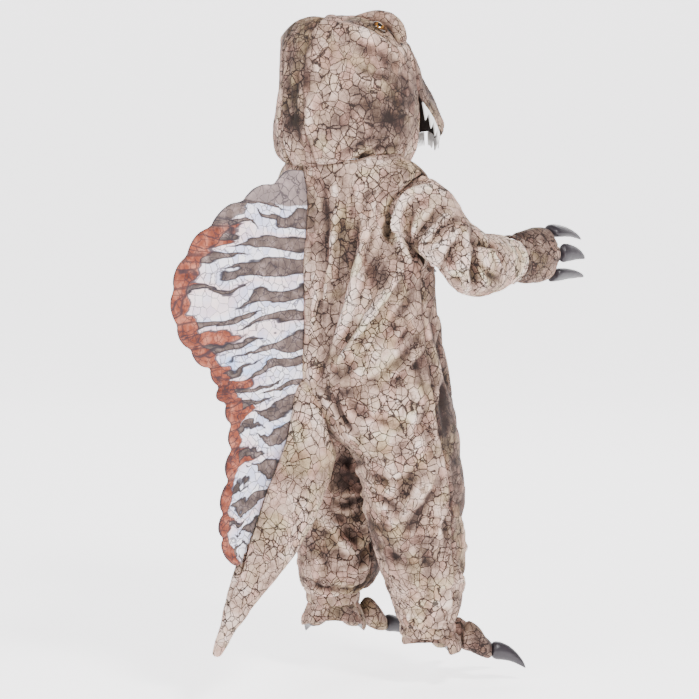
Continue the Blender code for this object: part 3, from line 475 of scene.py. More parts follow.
# %% List the creases
# Points in the frame (u, v); half width, rise, lip on the right of its way, in millimetres
SEEN_CREASES = (
    (((348, 186), (343, 225), (336, 276), (327, 330), (319, 372)), 7, -4.0, 1.6),
    (((356, 198), (353, 235), (345, 268), (332, 322), (317, 388)), 7, -4.5, 1.8),
    (((368, 210), (362, 250), (350, 292), (336, 340)), 8, 2.6, 0),
    (((389, 215), (384, 240), (373, 268), (356, 312), (339, 351), (319, 387)), 8, -5.0, 2.0),
    (((404, 262), (390, 287), (372, 314), (350, 345), (330, 369)), 7, 4.0, -1.5),
    (((409, 272), (396, 294), (380, 318), (358, 347), (333, 377)), 6, -3.6, 1.0),
    (((413, 292), (400, 314), (381, 336), (352, 366), (327, 390)), 7, -3.4, 1.5),
    (((423, 330), (408, 352), (385, 373), (355, 390), (328, 397)), 7, -3.0, 1.4),
    (((322, 186), (324, 230), (320, 290), (312, 352)), 6, -2.4, 1.2),
    (((352, 186), (350, 215), (343, 262), (333, 308)), 4, -2.8, 1.4),
    (((362, 190), (358, 222), (350, 262), (341, 300), (328, 347)), 4, -3.0, 1.6),
    (((379, 202), (373, 232), (362, 268), (349, 306)), 4, -2.8, 1.4),
    (((397, 236), (387, 260), (372, 290), (356, 320), (338, 352)), 4, -3.0, 1.5),
    (((401, 280), (387, 303), (368, 328), (348, 354), (328, 382)), 4, -2.8, 1.5),
    (((326, 202), (327, 250), (320, 312), (314, 372)), 4, -2.4, 1.2),
    (((338, 232), (331, 276), (322, 326), (316, 380)), 4, -2.6, 1.4),
    (((421, 312), (409, 330), (396, 344)), 4, -2.2, 1.0),
    (((430, 345), (415, 366), (394, 380), (368, 388)), 5, -2.2, 1.2),
    (((333, 178), (335, 205), (331, 250)), 6, 2.2, 0),
    (((372, 182), (366, 200), (366, 222)), 6, -2.4, 1.0),
    (((322, 388), (333, 402), (347, 424), (358, 437)), 5, -4.2, 2.4),
    (((345, 400), (372, 418), (398, 424)), 8, -2.4, 1.0),
    (((436, 300), (440, 326), (438, 352)), 7, -3.0, 1.2),
    (((446, 372), (442, 398), (446, 428)), 8, -2.6, 1.2),
    (((415, 405), (427, 430), (430, 458)), 9, -2.4, 1.0),
    (((413, 472), (405, 485), (396, 500)), 9, -5.5, 2.2),
    (((436, 468), (420, 490), (404, 512), (388, 531)), 7, 3.2, -1.2),
    (((440, 482), (425, 505), (407, 532)), 7, -3.4, 1.2),
    (((370, 474), (385, 482), (400, 481)), 7, -3.4, 1.4),
    (((372, 494), (386, 501), (402, 514)), 7, -3.0, 1.4),
    (((452, 500), (446, 530), (452, 556)), 8, -3.0, 1.2),
    (((420, 545), (430, 575), (428, 602)), 8, -2.2, 1.0),
    (((385, 545), (398, 560), (412, 566)), 8, -2.2, 1.0),
    (((336, 455), (350, 464), (363, 461)), 6, -3.2, 1.6),
    (((338, 472), (352, 484), (365, 486)), 7, -3.0, 1.4),
    (((333, 499), (350, 506), (366, 497)), 5, -3.4, 1.8),
    (((320, 518), (335, 531), (351, 555)), 7, 4.0, -1.4),
    (((332, 512), (347, 528), (360, 550)), 7, -3.6, 1.2),
    (((303, 580), (330, 590), (368, 584)), 7, -3.4, 1.6),
    (((318, 545), (325, 565), (322, 585)), 7, -2.4, 1.2),
    (((430, 186), (412, 192), (400, 204), (396, 223), (400, 246), (411, 263)), 6, 6.5, -2.5),
    (((426, 199), (411, 207), (406, 223), (409, 243), (417, 259)), 6, -8.5, 2.5),
    (((391, 214), (391, 233), (397, 251)), 6, -6.5, 1.2),
    (((452, 209), (438, 223), (424, 239), (418, 261)), 5, 3.8, -1.6),
    (((446, 204), (430, 219), (419, 234), (413, 252)), 5, -4.6, 1.4),
    (((459, 224), (446, 240), (430, 252), (425, 264)), 6, 3.4, -1.4),
    (((456, 216), (442, 228), (430, 240)), 4, -3.4, 1.2),
    (((463, 237), (453, 247), (446, 262), (433, 267)), 5, -5.5, 2.4),
    (((464, 226), (466, 250), (465, 271), (466, 292)), 6, 6.5, 0),
    (((474, 230), (476, 252), (474, 272), (474, 290)), 6, -7.5, 0),
    (((472, 241), (485, 244), (497, 249)), 6, -5.5, 2.2),
    (((489, 240), (497, 254), (504, 264)), 4, -6.0, 2.6),
    (((480, 262), (490, 276), (501, 281)), 5, -3.4, 1.6),
    (((440, 284), (455, 281), (468, 272)), 6, -3.2, 1.6),
    (((336, 158), (352, 150), (372, 136)), 6, -3.0, 1.6),
    (((352, 163), (376, 150), (398, 148)), 5, -2.4, 1.4),
    (((300, 60), (293, 100), (286, 140)), 6, -1.8, 0.8),
    (((352, 62), (372, 74), (392, 76)), 6, -2.4, 1.2),
    (((342, 25), (357, 30), (372, 38), (386, 47), (400, 56)), 9, 5.0, -1.6),
    (((352, 22), (368, 27), (382, 35), (394, 44)), 5, -3.0, 0),
    (((290, 40), (288, 90), (281, 140)), 8, -1.8, 0.8),
    (((318, 44), (312, 96), (306, 150)), 7, 1.8, -0.8),
)
# The middle of each limb, across and back, and how far outside it a line of sight starts
LIMBS = {"body": (0, 0, 200), "right_leg": (-82, -52, 110), "left_leg": (80, -46, 110)}
# Limb, points as angle from the centre back to the wearer's left and height;
# half width, rise, lip
HIDDEN_CREASES = (
    ("body", ((176, -60), (172, -140), (178, -210)), 8, -2.6, 1.2),
    ("body", ((-160, -50), (-166, -130), (-171, -240)), 8, -3.2, 1.4),
    ("body", ((150, -55), (160, -150), (168, -250)), 8, -3.4, 1.4),
    ("body", ((-120, -128), (-140, -170), (-158, -230)), 7, -3.6, 1.8),
    ("body", ((122, -130), (140, -185), (156, -250)), 7, -3.4, 1.6),
    ("body", ((-112, -150), (-128, -220), (-146, -300)), 8, -3.0, 1.4),
    ("body", ((110, -160), (126, -235), (148, -320)), 8, -2.8, 1.4),
    ("body", ((-170, -300), (-150, -345), (-120, -372)), 8, -3.4, 1.6),
    ("body", ((170, -305), (148, -350), (122, -378)), 8, -3.2, 1.6),
    ("body", ((-96, -190), (-104, -262), (-118, -330)), 9, -2.6, 1.2),
    ("body", ((98, -200), (108, -275), (122, -345)), 9, -2.6, 1.2),
    ("body", ((-84, -280), (-88, -330), (-80, -372)), 8, -2.4, 1.0),
    ("body", ((84, -270), (90, -322), (86, -368)), 8, -2.4, 1.0),
    ("right_leg", ((-150, -440), (-170, -470), (170, -480)), 8, -3.2, 1.6),
    ("right_leg", ((-120, -495), (-150, -520), (178, -512)), 7, -4.2, 2.0),
    ("right_leg", ((-130, -530), (-165, -548), (160, -538)), 7, -3.4, 1.8),
    ("right_leg", ((-110, -560), (-135, -590), (-170, -600)), 7, -3.0, 1.4),
    ("right_leg", ((140, -450), (110, -480), (90, -505)), 7, -3.4, 1.6),
    ("right_leg", ((100, -540), (80, -570), (60, -600)), 7, -2.8, 1.2),
    ("left_leg", ((150, -440), (175, -468), (-165, -478)), 8, -3.2, 1.6),
    ("left_leg", ((120, -470), (155, -498), (-178, -492)), 7, -4.0, 2.0),
    ("left_leg", ((130, -512), (165, -530), (-165, -518)), 7, -3.4, 1.8),
    ("left_leg", ((-140, -455), (-112, -485), (-92, -505)), 7, -3.2, 1.6),
    ("left_leg", ((88, -430), (70, -480), (80, -520)), 9, -3.0, 1.4),
    ("left_leg", ((104, -545), (120, -570), (150, -585)), 7, -2.8, 1.4),
    ("left_leg", ((-110, -540), (-140, -560), (-172, -555)), 7, -2.8, 1.4),
)
# The seen creases that start above this line of the frame also fall on the wearer's left,
# somewhat weaker and lower
MIRRORED_FROM, MIRRORED_SHARE, MIRRORED_DROP = 450, 0.85, 12.0
DEPTH_GAIN = 2.0


# %% [markdown]
# Pressing the creases in
# A smooth line is drawn through the points of each crease and laid on the nearest cloth. The cloth
# near it sinks or rises by its distance from the line. No crease is even: its width and its height
# waver along its way, and it fades at both ends. Cloth that faces elsewhere is left alone.


# %% Press the creases into the cloth
def curve_through(points, step):
    """A smooth line of points through a few of them."""
    ends = [points[0] * 2 - points[1], *points, points[-1] * 2 - points[-2]]
    line = []
    for a, b, c, d in zip(ends, ends[1:], ends[2:], ends[3:]):
        count = max(2, int((c - b).length / step))
        for k in range(count):
            f = k / count
            line.append(0.5 * (2 * b + (c - a) * f + (2 * a - 5 * b + 4 * c - d) * f * f
                               + (3 * b - a - 3 * c + d) * f ** 3))
    line.append(points[-1])
    return line


def on_costume(origin, direction):
    """Where a line meets the cloth first, or None."""
    return costume.ray_cast(origin, direction)[0]


def limb_place(limb, angle, height):
    """The place on the outside of a limb at an angle and height, or None."""
    x, y, reach = LIMBS[limb]
    turn = math.radians(angle)
    way = Vector((math.sin(turn), math.cos(turn), 0))
    return on_costume(Vector((x, y, height)) + way * reach, -way)


def laid_line(placed):
    """A smooth line on the cloth through some places, empty if fewer than two are on it."""
    found = [place for place in placed if place is not None]
    if len(found) < 2:
        return []
    return [costume.find_nearest(place)[0] for place in curve_through(found, 4)]


def mirrored_line(line):
    """The same line on the other side, moved down a little and put back on the cloth."""
    moved = [Vector((-p.x, p.y, p.z - MIRRORED_DROP)) for p in line]
    return [costume.find_nearest(p)[0] for p in moved]


crease_lines = []
for points, half_width, rise, lip in SEEN_CREASES:
    line = laid_line([on_costume(camera.location / MM, sight_line(u, v)) for u, v in points])
    if line:
        crease_lines.append((line, half_width, rise, lip))
    if line and points[0][1] < MIRRORED_FROM:
        weaker = (half_width, rise * MIRRORED_SHARE, -lip * MIRRORED_SHARE)
        crease_lines.append((mirrored_line(line), *weaker))
for limb, points, half_width, rise, lip in HIDDEN_CREASES:
    line = laid_line([limb_place(limb, *point) for point in points])
    if line:
        crease_lines.append((line, half_width, rise, lip))


def crease_lift(places, normals, line, half_width, rise, lip):
    """How far one crease moves each point outwards."""
    path = np.array(line)
    facing = np.array([costume.find_nearest(p)[1] for p in line])
    lift = np.zeros(len(places))
    reach = half_width * 4
    low, high = path.min(axis=0) - reach, path.max(axis=0) + reach
    near = np.nonzero(((places > low) & (places < high)).all(axis=1))[0]
    if len(near) == 0:
        return lift
    gaps = places[near][:, None, :] - path[None, :, :]
    squared = (gaps ** 2).sum(axis=2)
    closest = squared.argmin(axis=1)
    distance = np.sqrt(squared[np.arange(len(near)), closest])
    tangent = np.gradient(path, axis=0)
    sideways = np.cross(tangent, facing)
    sideways /= np.linalg.norm(sideways, axis=1)[:, None] + 1e-9
    signed = (gaps[np.arange(len(near)), closest] * sideways[closest]).sum(axis=1)
    agree = np.clip(((normals[near] * facing[closest]).sum(axis=1) - 0.1) / 0.5, 0, 1)
    along = closest / (len(path) - 1)
    fade = np.sin(np.pi * np.clip(along, 0.02, 0.98)) ** 0.6
    seed = path[0][0] * 0.37 + path[0][2] * 0.11
    uneven = 1 + 0.25 * np.sin(along * 9 + seed) + 0.15 * np.sin(along * 21 + seed * 2)
    width = half_width * (0.85 + 0.3 * np.sin(along * 5 + seed) ** 2)
    main = rise * bell(distance, width, 1.5)
    beside = lip * bell(signed - 1.8 * width, 1.1 * width) * bell(distance, 4 * width, 4)
    lift[near] = DEPTH_GAIN * (main + beside) * fade * uneven * agree
    return lift


for name, sheet in sheets.items():
    sheet["lift"] = np.zeros(len(sheet["places"]))
    for crease in crease_lines:
        sheet["lift"] += crease_lift(sheet["places"], sheet["normals"], *crease)
print("creases", len(crease_lines))

# %% [markdown]
# Sewn seams, hems and folds
# Each panel folds by the way it hangs: out from the root of the tail over the seat and the back,
# in rings round the legs and the arms, and lengthwise on the hood. Noise with narrow valleys makes
# them, so no two are alike.
# At a seam both panels turn in, so the cloth dips there and puckers a little beside the dip.
# A free edge is turned over and stitched: it is a little thicker, with a line behind it.
# Between the creases velour is never quite smooth, so a slow, low waviness covers all of it.

# %% Sink the seams
# Heights, widths and places in millimetres
BODY_FOLDS, LEG_FOLDS, SLEEVE_FOLDS, HOOD_FOLDS = 2.6, 2.5, 2.3, 0.9
SLOW_WAVE, QUICK_WAVE = 1.0, 0.22
SEAM_DIP, SEAM_DIP_WIDTH = 1.7, 2.6
SEAM_ROLL, SEAM_ROLL_PLACE, SEAM_ROLL_WIDTH = 0.6, 6, 4
PUCKER, PUCKER_REACH = 1.1, 9.0
HEM_STITCH, HEM_STITCH_PLACE, HEM_STITCH_WIDTH = 0.7, 8.0, 1.2
HEM_ROLL, HEM_WIDTH = 0.5, 6
TAIL_ROOT = np.array([0.0, 60.0, -310.0])


def distance_to(places, targets):
    """Distance of every point to the nearest of some other points."""
    tree = point_tree(targets)
    return np.array([tree.find(p)[2] for p in places])


def waves(places, scale, seed):
    """Slow noise from minus one to one at each point."""
    shift = Vector((seed, seed * 2.7, seed * 0.6))
    return np.array([noise.noise(Vector(p) / scale + shift) for p in places])


def ridges(points, seed):
    """Noise as cloth folds: round backs with narrow valleys between them."""
    shift = Vector((seed, seed * 1.9, seed * 0.7))
    plain = np.array([noise.noise(Vector(p) + shift) for p in points])
    return 0.9 * plain - 0.55 * bell(plain, 0.10)


def body_folds(places):
    """Folds that run out from the root of the tail over the seat and the back."""
    away = places - TAIL_ROOT
    reach = np.hypot(away[:, 0], away[:, 2])
    angle = np.arctan2(away[:, 0], away[:, 2])
    spread = np.stack([angle * 4.2, reach / 95, places[:, 1] / 130], axis=1)
    near = smooth_step(reach, 15, 90) * (1 - 0.45 * smooth_step(reach, 200, 330))
    return ridges(spread, 1.7) * near


def ring_folds(places, axis, wide, long, seed):
    """Folds across a limb that runs along an axis."""
    scale = np.full(3, float(long))
    scale[axis] = wide
    moved = places.copy()
    moved[:, axis] += 5 * waves(places, 60, 0)
    return ridges(moved / scale, seed)


def folds(name, places):
    """The folds that a panel's own way of hanging gives it."""
    if name.startswith(("back", "front")):
        leg = smooth_step(-places[:, 2], 400, 470)
        body = BODY_FOLDS * body_folds(places)
        legs = LEG_FOLDS * ring_folds(places, 2, 15, 62, 4.4)
        return body * (1 - leg) + legs * leg
    if name.startswith("sleeve"):
        forearm = smooth_step(-places[:, 1], 60, 100)
        upper = ring_folds(places, 0, 12, 55, 7.1)
        lower = ring_folds(places, 1, 13, 50, 2.6)
        return SLEEVE_FOLDS * (upper * (1 - forearm) + lower * forearm)
    return HOOD_FOLDS * ring_folds(places, 0, 40, 24, 5.2)


for name, sheet in sheets.items():
    places = sheet["places"]
    free = sorted(set(sheet["rim"]) - set(sheet["sewn"]))
    slow = waves(places, 34, 3.1)
    quick = waves(places, 7.5, 5.9)
    sheet["lift"] += folds(name, places) + SLOW_WAVE * slow + QUICK_WAVE * quick
    if sheet["sewn"]:
        distance = distance_to(places, places[sheet["sewn"]])
        pucker = PUCKER * quick * bell(distance, PUCKER_REACH)
        roll = SEAM_ROLL * bell(distance - SEAM_ROLL_PLACE, SEAM_ROLL_WIDTH)
        sheet["lift"] += pucker + roll - SEAM_DIP * bell(distance, SEAM_DIP_WIDTH)
    if free:
        distance = distance_to(places, places[free])
        groove = HEM_STITCH * bell(distance - HEM_STITCH_PLACE, HEM_STITCH_WIDTH)
        sheet["lift"] += HEM_ROLL * bell(distance, HEM_WIDTH, 4) - groove

# %% [markdown]
# Gathers
# Elastic draws the cloth in at the wrists and ankles. Short folds start at the elastic and fade
# up the limb. Each has its own width and depth, because elastic never gathers evenly.

# %% Gather the wrists and ankles
GATHER_COUNT = 17
GATHER_RISE = 3.2
WRIST_GAIN = 1.35
ELASTIC_WIDTH = 7
# Cloth farther than this from the middle of the cuff belongs to another limb
CUFF_REACH = 75
SLEEVE_END = -185


def gathers(places, ring, reach, seed):
    """Lift of the gathers that start at a ring of points."""
    middle = ring.mean(axis=0)
    axis = np.linalg.svd(ring - middle)[2][2]
    first = ring[0] - middle
    first /= np.linalg.norm(first)
    second = np.cross(axis, first)
    out = places - middle
    angle = np.arctan2(out @ second, out @ first)
    height = np.abs(out @ axis)
    wander = 0.35 * np.sin(3 * angle + seed) + 0.22 * np.sin(5 * angle + 2 * seed)
    wave = np.cos(GATHER_COUNT * angle + 3 * wander + seed)
    uneven = 0.6 + 0.4 * np.sin(4 * angle + seed * 3)
    length = reach * (0.75 + 0.35 * np.sin(7 * angle + seed * 2))
    near = np.linalg.norm(out, axis=1) < CUFF_REACH
    start = 1 - bell(height, ELASTIC_WIDTH)
    return np.where(near, GATHER_RISE * wave * uneven * start * bell(height, length), 0)


def end_ring(name, low):
    """The points of a panel's rim that lie at its cuff."""
    sheet = sheets[name]
    rim = sheet["places"][sheet["rim"]]
    if name.startswith("sleeve"):
        return rim[rim[:, 1] < low]
    return rim[rim[:, 2] < low]


LEG_ENDS = {"right": -664, "left": -630}
for side, word in SIDES:
    panels = [f"{kind}_{word}" for kind in ("back", "front")]
    ankle = np.concatenate([end_ring(name, LEG_ENDS[word]) for name in panels])
    for name in panels:
        sheets[name]["lift"] += gathers(sheets[name]["places"], ankle, 30, 1.3 + side)
    name = f"sleeve_{word}"
    wrist = end_ring(name, SLEEVE_END)
    sheets[name]["lift"] += WRIST_GAIN * gathers(sheets[name]["places"], wrist, 32, 2.1 + side)
print("deepest and highest", {name: (round(sheet["lift"].min(), 1), round(sheet["lift"].max(), 1))
                              for name, sheet in sheets.items()})

# %% [markdown]
# Materials: the print
# The velour is printed with cracked scales. Every scale is one cell of a Voronoi pattern with its
# own tone, and the dark cracks are the borders of the cells. Noise bends the borders, so they look
# drawn by hand. Larger noise makes darker and lighter regions, and fine noise is the nap.
# The nodes are placed by small functions. A socket knows its own tree, so only the first node of a
# material has to be told where it belongs.


# %% Tools for shader nodes
def shader_group(name, inputs, outputs):
    """An empty shader group with its sockets. An input without a number is a vector."""
    tree = bpy.data.node_groups.new(name, "ShaderNodeTree")
    for label, value in inputs.items():
        kind = "NodeSocketVector" if value is None else "NodeSocketFloat"
        socket = tree.interface.new_socket(label, in_out="INPUT", socket_type=kind)
        if value is not None:
            socket.default_value = value
    for label, kind in outputs.items():
        tree.interface.new_socket(label, in_out="OUTPUT", socket_type=f"NodeSocket{kind}")
    first, last = tree.nodes.new("NodeGroupInput"), tree.nodes.new("NodeGroupOutput")
    return tree, first.outputs, last.inputs


def feed(socket, value):
    """Link a socket to another one, or set its value."""
    if isinstance(value, bpy.types.NodeSocket):
        socket.id_data.links.new(value, socket)
    else:
        socket.default_value = value


def add(tree, kind, values=(), **settings):
    """One node with its sockets filled."""
    made = tree.nodes.new(f"ShaderNode{kind}")
    for key, value in settings.items():
        setattr(made, key, value)
    for key, value in dict(values).items():
        feed(made.inputs[key], value)
    return made


def tree_of(*values):
    """The tree of the first socket among some values."""
    return next(value.id_data for value in values if isinstance(value, bpy.types.NodeSocket))


def calc(operation, *values, kind="Math"):
    """A sum on numbers."""
    made = add(tree_of(*values), kind, operation=operation)
    for socket, value in zip(made.inputs, values):
        feed(socket, value)
    return made.outputs[0]


def move(operation, first, second):
    """A sum on two vectors."""
    return calc(operation, first, second, kind="VectorMath")


def plus(first, second):
    """Two numbers added."""
    return calc("ADD", first, second)


def times(first, second):
    """Two numbers multiplied."""
    return calc("MULTIPLY", first, second)


def centred(value, share):
    """A value around one half, moved around zero and scaled."""
    return times(calc("SUBTRACT", value, 0.5), share)


def blend(factor, first, second, mode="MIX"):
    """Two colours mixed."""
    made = add(tree_of(factor, first, second), "Mix", data_type="RGBA", blend_type=mode)
    feed(made.inputs[0], factor)
    for socket, value in ((made.inputs[6], first), (made.inputs[7], second)):
        feed(socket, (*value, 1) if isinstance(value, tuple) else value)
    return made.outputs[2]


def span(value, low, high, start=0.0, end=1.0):
    """A value eased from one range to another."""
    made = add(value.id_data, "MapRange", interpolation_type="SMOOTHSTEP")
    for socket, number in zip(made.inputs, (value, low, high, start, end)):
        feed(socket, number)
    return made.outputs[0]


def tones(factor, stops):
    """A colour ramp from a table of places and colours."""
    made = add(factor.id_data, "ValToRGB", {0: factor})
    ramp = made.color_ramp
    while len(ramp.elements) < len(stops):
        ramp.elements.new(0.5)
    for element, (place, colour) in zip(ramp.elements, stops):
        element.position = place
        element.color = (*colour, 1)
    return made.outputs[0]


def cloud(place, scale, detail=2.0, rough=0.5, output=0):
    """Smooth noise around one half, or as a colour from the second output."""
    values = {"Vector": place, "Scale": scale, "Detail": detail, "Roughness": rough}
    return add(place.id_data, "TexNoise", values).outputs[output]


# %% [markdown]
# The cracks
# A slow and a quick wobble bend the borders of the cells. The cells are a little wider than they
# are high, and the cracks swell and thin from place to place, as a brush does.

# %% Draw the cracks
SCALE_FLATNESS = 0.82
# Scale, detail and reach in metres of each wobble
WOBBLES = ((48.0, 2.0, 0.005), (380.0, 1.0, 0.002))

crack_tree, crack_in, crack_out = shader_group(
    "Cracks", {"Place": None, "Cells": 60.0, "Width": 0.04}, {"Lines": "Float", "Cell": "Color"}
)
place = bent = crack_in["Place"]
for scale, detail, reach in WOBBLES:
    wobble = move("SUBTRACT", cloud(place, scale, detail, output=1), (0.5, 0.5, 0.5))
    bent = move("ADD", bent, move("MULTIPLY", wobble, (reach, reach, reach)))
bent = move("MULTIPLY", bent, (1.0, 1.0, SCALE_FLATNESS))
settings = {"Vector": bent, "Scale": crack_in["Cells"], "Randomness": 1.0}
borders = add(crack_tree, "TexVoronoi", settings, feature="DISTANCE_TO_EDGE")
cell = add(crack_tree, "TexVoronoi", settings, feature="F1")
thick = times(crack_in["Width"], span(cloud(place, 26.0), 0.3, 0.7, 0.5, 1.45))
line = span(borders.outputs["Distance"], times(thick, 0.6), times(thick, 1.5), 1.0, 0.0)
feed(crack_out["Lines"], line)
feed(crack_out["Cell"], cell.outputs["Color"])

# %% [markdown]
# The colours of the scales
# The tone of a place is the sum of its scale, its region, its patch and the nap, and a ramp turns
# it into a colour. Some scales are pinker, some greener. Strong cracks bound the scales, and
# fainter ones cross them in some regions. A given darkening for each piece, partly the print's own
# tone and partly painted light, is taken off. Painted shade is added: darker in the folds, lighter
# on the ridges, and darker and paler patches, partly print tone and partly painted light and shade.

# %% Colour the scales
CLOTH_TONES = (
    (0.00, (0.024, 0.015, 0.013)),
    (0.20, (0.075, 0.047, 0.038)),
    (0.40, (0.190, 0.124, 0.098)),
    (0.60, (0.370, 0.252, 0.198)),
    (0.80, (0.540, 0.395, 0.325)),
    (1.00, (0.740, 0.600, 0.530)),
)
CRACK_COLOUR = (0.016, 0.010, 0.009)

TONE_BASE = 0.55
CRACK_SHARE, FAINT_SHARE = 0.92, 0.88
CELLS, CRACK_WIDTH, FAINT_WIDTH = 76.0, 0.037, 0.034

print_tree, print_in, print_out = shader_group(
    "Scale print", {"Place": None, "Darkening_and_painted_light": 0.0, "Shade_and_patches": 0.0}, {"Color": "Color", "Relief": "Float"}
)
place = print_in["Place"]
cracks = add(print_tree, "Group", {"Place": place, "Cells": CELLS, "Width": CRACK_WIDTH},
             node_tree=crack_tree).outputs
aside = move("ADD", place, (0.31, 0.17, 0.05))
faint_cracks = add(print_tree, "Group", {"Place": aside, "Cells": CELLS * 1.12,
                                         "Width": FAINT_WIDTH}, node_tree=crack_tree).outputs
chance = add(print_tree, "SeparateColor", {"Color": cracks["Cell"]}).outputs
regions = cloud(place, 8.5, 3.0, 0.6)
patches = cloud(place, 62.0, 4.0, 0.65)
nap = cloud(place, 900.0, 3.0, 0.7)

tone = plus(TONE_BASE, centred(chance[0], 0.10))
for value, share in ((regions, 1.35), (patches, 0.95), (nap, 0.55)):
    tone = plus(tone, centred(value, share))
# Darkening per piece: partly the print's own tone, partly painted light
tone = calc("SUBTRACT", tone, print_in["Darkening_and_painted_light"])
# Painted shade: darker in the folds, lighter on the ridges, with patches of print tone and of
# painted light and shade
tone = plus(tone, times(print_in["Shade_and_patches"], span(chance[0], 0.0, 1.0, 0.26, 0.56)))
colour = tones(tone, CLOTH_TONES)
for amount, tint in (
    (times(span(chance[1], 0.50, 0.95), 0.55), (1.0, 0.80, 0.79)),
    (span(cloud(place, 21.0), 0.50, 0.66, 0.0, 0.75), (0.84, 0.92, 0.70)),
    (times(span(chance[2], 0.70, 0.95), 0.4), (0.92, 0.93, 0.74)),
):
    colour = blend(amount, colour, tint, "MULTIPLY")
some = span(cloud(place, 15.0), 0.30, 0.52)
for amount in (times(times(faint_cracks["Lines"], some), FAINT_SHARE),
               times(cracks["Lines"], CRACK_SHARE)):
    colour = blend(amount, colour, CRACK_COLOUR)
relief = calc("SUBTRACT", times(nap, 0.5), times(cracks["Lines"], 0.25))
feed(print_out["Color"], colour)
feed(print_out["Relief"], plus(relief, times(patches, 1.2)))


# %% [markdown]
# The cloths
# Each cut piece takes the print from another part of the roll and at another angle, as cut cloth
# does. Each piece is also darkened or lightened by a given amount: partly the print's own tone,
# partly painted light, which makes the sleeves and the tail lighter. The back of the velour is a
# plain knit. The inside of the jaw is near black: a dark lining, with painted shade for the
# shadow in the snout.

# %% Make the cloth materials
def fabric(name, roughness, sheen, more=()):
    """A new material for cloth, with its shader and its object coordinates."""
    made = bpy.data.materials.new(name)
    made.use_nodes = True
    shader = made.node_tree.nodes["Principled BSDF"]
    values = {"Roughness": roughness, "Sheen Weight": sheen, "Sheen Roughness": 0.45,
              "Specular IOR Level": 0.2, **dict(more)}
    for label, value in values.items():
        shader.inputs[label].default_value = value
    return made, shader, add(made.node_tree, "TexCoord").outputs["Object"]


def finish(shader, colour, height, depth, strength=1.0):
    """Feed the shader its colour, and its normal from a height."""
    values = {"Height": height, "Strength": strength, "Distance": depth}
    feed(shader.inputs["Base Color"], colour)
    feed(shader.inputs["Normal"], add(shader.id_data, "Bump", values).outputs[0])


def printed_velour(name, shift, turn, darkening_and_painted_light):
    """The scale print as it falls on one cut piece, with a darkening that is partly painted light
    and the painted shade of its folds.
    """
    made, shader, spot = fabric(name, 0.88, 0.03)
    cut = add(made.node_tree, "Mapping", {
        "Vector": spot, "Location": shift, "Rotation": (turn, turn * 0.4, turn * 0.7),
    }).outputs[0]
    # Painted shade of the folds and the patches, carried by the points
    shade_and_patches = add(made.node_tree, "Attribute", attribute_name="shade_and_patches").outputs["Fac"]
    group = add(made.node_tree, "Group", {"Place": cut, "Shade_and_patches": shade_and_patches, "Darkening_and_painted_light": darkening_and_painted_light},
                node_tree=print_tree).outputs
    finish(shader, group["Color"], group["Relief"], 0.6 * MM)
    return made


def plain_back(name, low, high):
    """The unprinted back of a cloth, a fine knit."""
    made, shader, spot = fabric(name, 0.95, 0.1)
    knit = add(made.node_tree, "TexWave",
               {"Vector": spot, "Scale": 260.0, "Distortion": 1.5, "Detail": 1.0},
               wave_type="BANDS", bands_direction="Z")
    colour = blend(cloud(spot, 60.0, 3.0), low, high)
    finish(shader, colour, knit.outputs["Fac"], 0.25 * MM, 0.6)
    return made


# Where each piece was cut from the roll, in metres; its turn in radians; how much darker it is,
# partly the print's own tone and partly painted light: the sleeves are painted lighter
PRINT_CUTS = {
    "back_right": ((0.00, 0.00, 0.00), 0.0, -0.05),
    "back_left": ((0.37, 0.11, 0.05), 0.2, -0.04),
    "front_right": ((0.71, 0.23, 0.13), -0.2, 0.10),
    "front_left": ((1.13, 0.31, 0.22), 0.1, 0.09),
    "sleeve_right": ((1.51, 0.42, 0.31), 0.5, -0.18),
    "sleeve_left": ((1.87, 0.47, 0.07), -0.5, -0.18),
    "hood_right": ((2.21, 0.13, 0.17), 0.1, 0.07),
    "hood_left": ((2.63, 0.37, 0.29), -0.1, 0.04),
    "hood_gusset": ((2.97, 0.41, 0.41), 0.3, 0.03),
    "upper_jaw": ((3.33, 0.53, 0.11), 0.4, 0.24),
}
velour = {name: printed_velour(f"velour_{name}", *cut) for name, cut in PRINT_CUTS.items()}
trim_velour = printed_velour("velour_trim", (3.71, 0.21, 0.33), 0.6, 0.06)
# The tail is made lighter: painted light
tail_velour = printed_velour("velour_tail", (4.12, 0.35, 0.19), 0.2, -0.21)
cloth_back = plain_back("cloth_back", (0.40, 0.33, 0.28), (0.56, 0.48, 0.42))
# Near black inside the jaw: a dark lining and painted shade
jaw_lining_and_shade = plain_back("jaw_lining_and_shade", (0.020, 0.014, 0.013), (0.050, 0.036, 0.032))
print("materials", len(bpy.data.materials))

# %% [markdown]
# The finished panels
# Each panel is moved along its normals by all its creases and seams. A value of painted shade goes
# with it: dark in the valleys and light on the ridges, with large dark and pale patches, which
# noise gives ragged edges; the patches are partly the print's own tone and partly painted light and
# shade.
# Solidify then puts the second face of the cloth further in, with its plain back.


# %% Finish the panels
def dress(piece, slot, *nodes):
    """Let a piece stand for its CAD nodes."""
    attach(piece, "root")
    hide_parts(*nodes)


def thickened(piece, depth):
    """Give a sheet its thickness inwards, with its back in the second material."""
    only(piece)
    wall = piece.modifiers.new("wall", "SOLIDIFY")
    wall.thickness = depth
    wall.offset = -1
    wall.material_offset = 1
    bpy.ops.object.modifier_apply(modifier=wall.name)
    bpy.ops.object.shade_smooth_by_angle(angle=math.radians(50))


def flat_area(piece):
    """Area of one face of a sheet, in square metres."""
    return sum(polygon.area for polygon in piece.data.polygons)


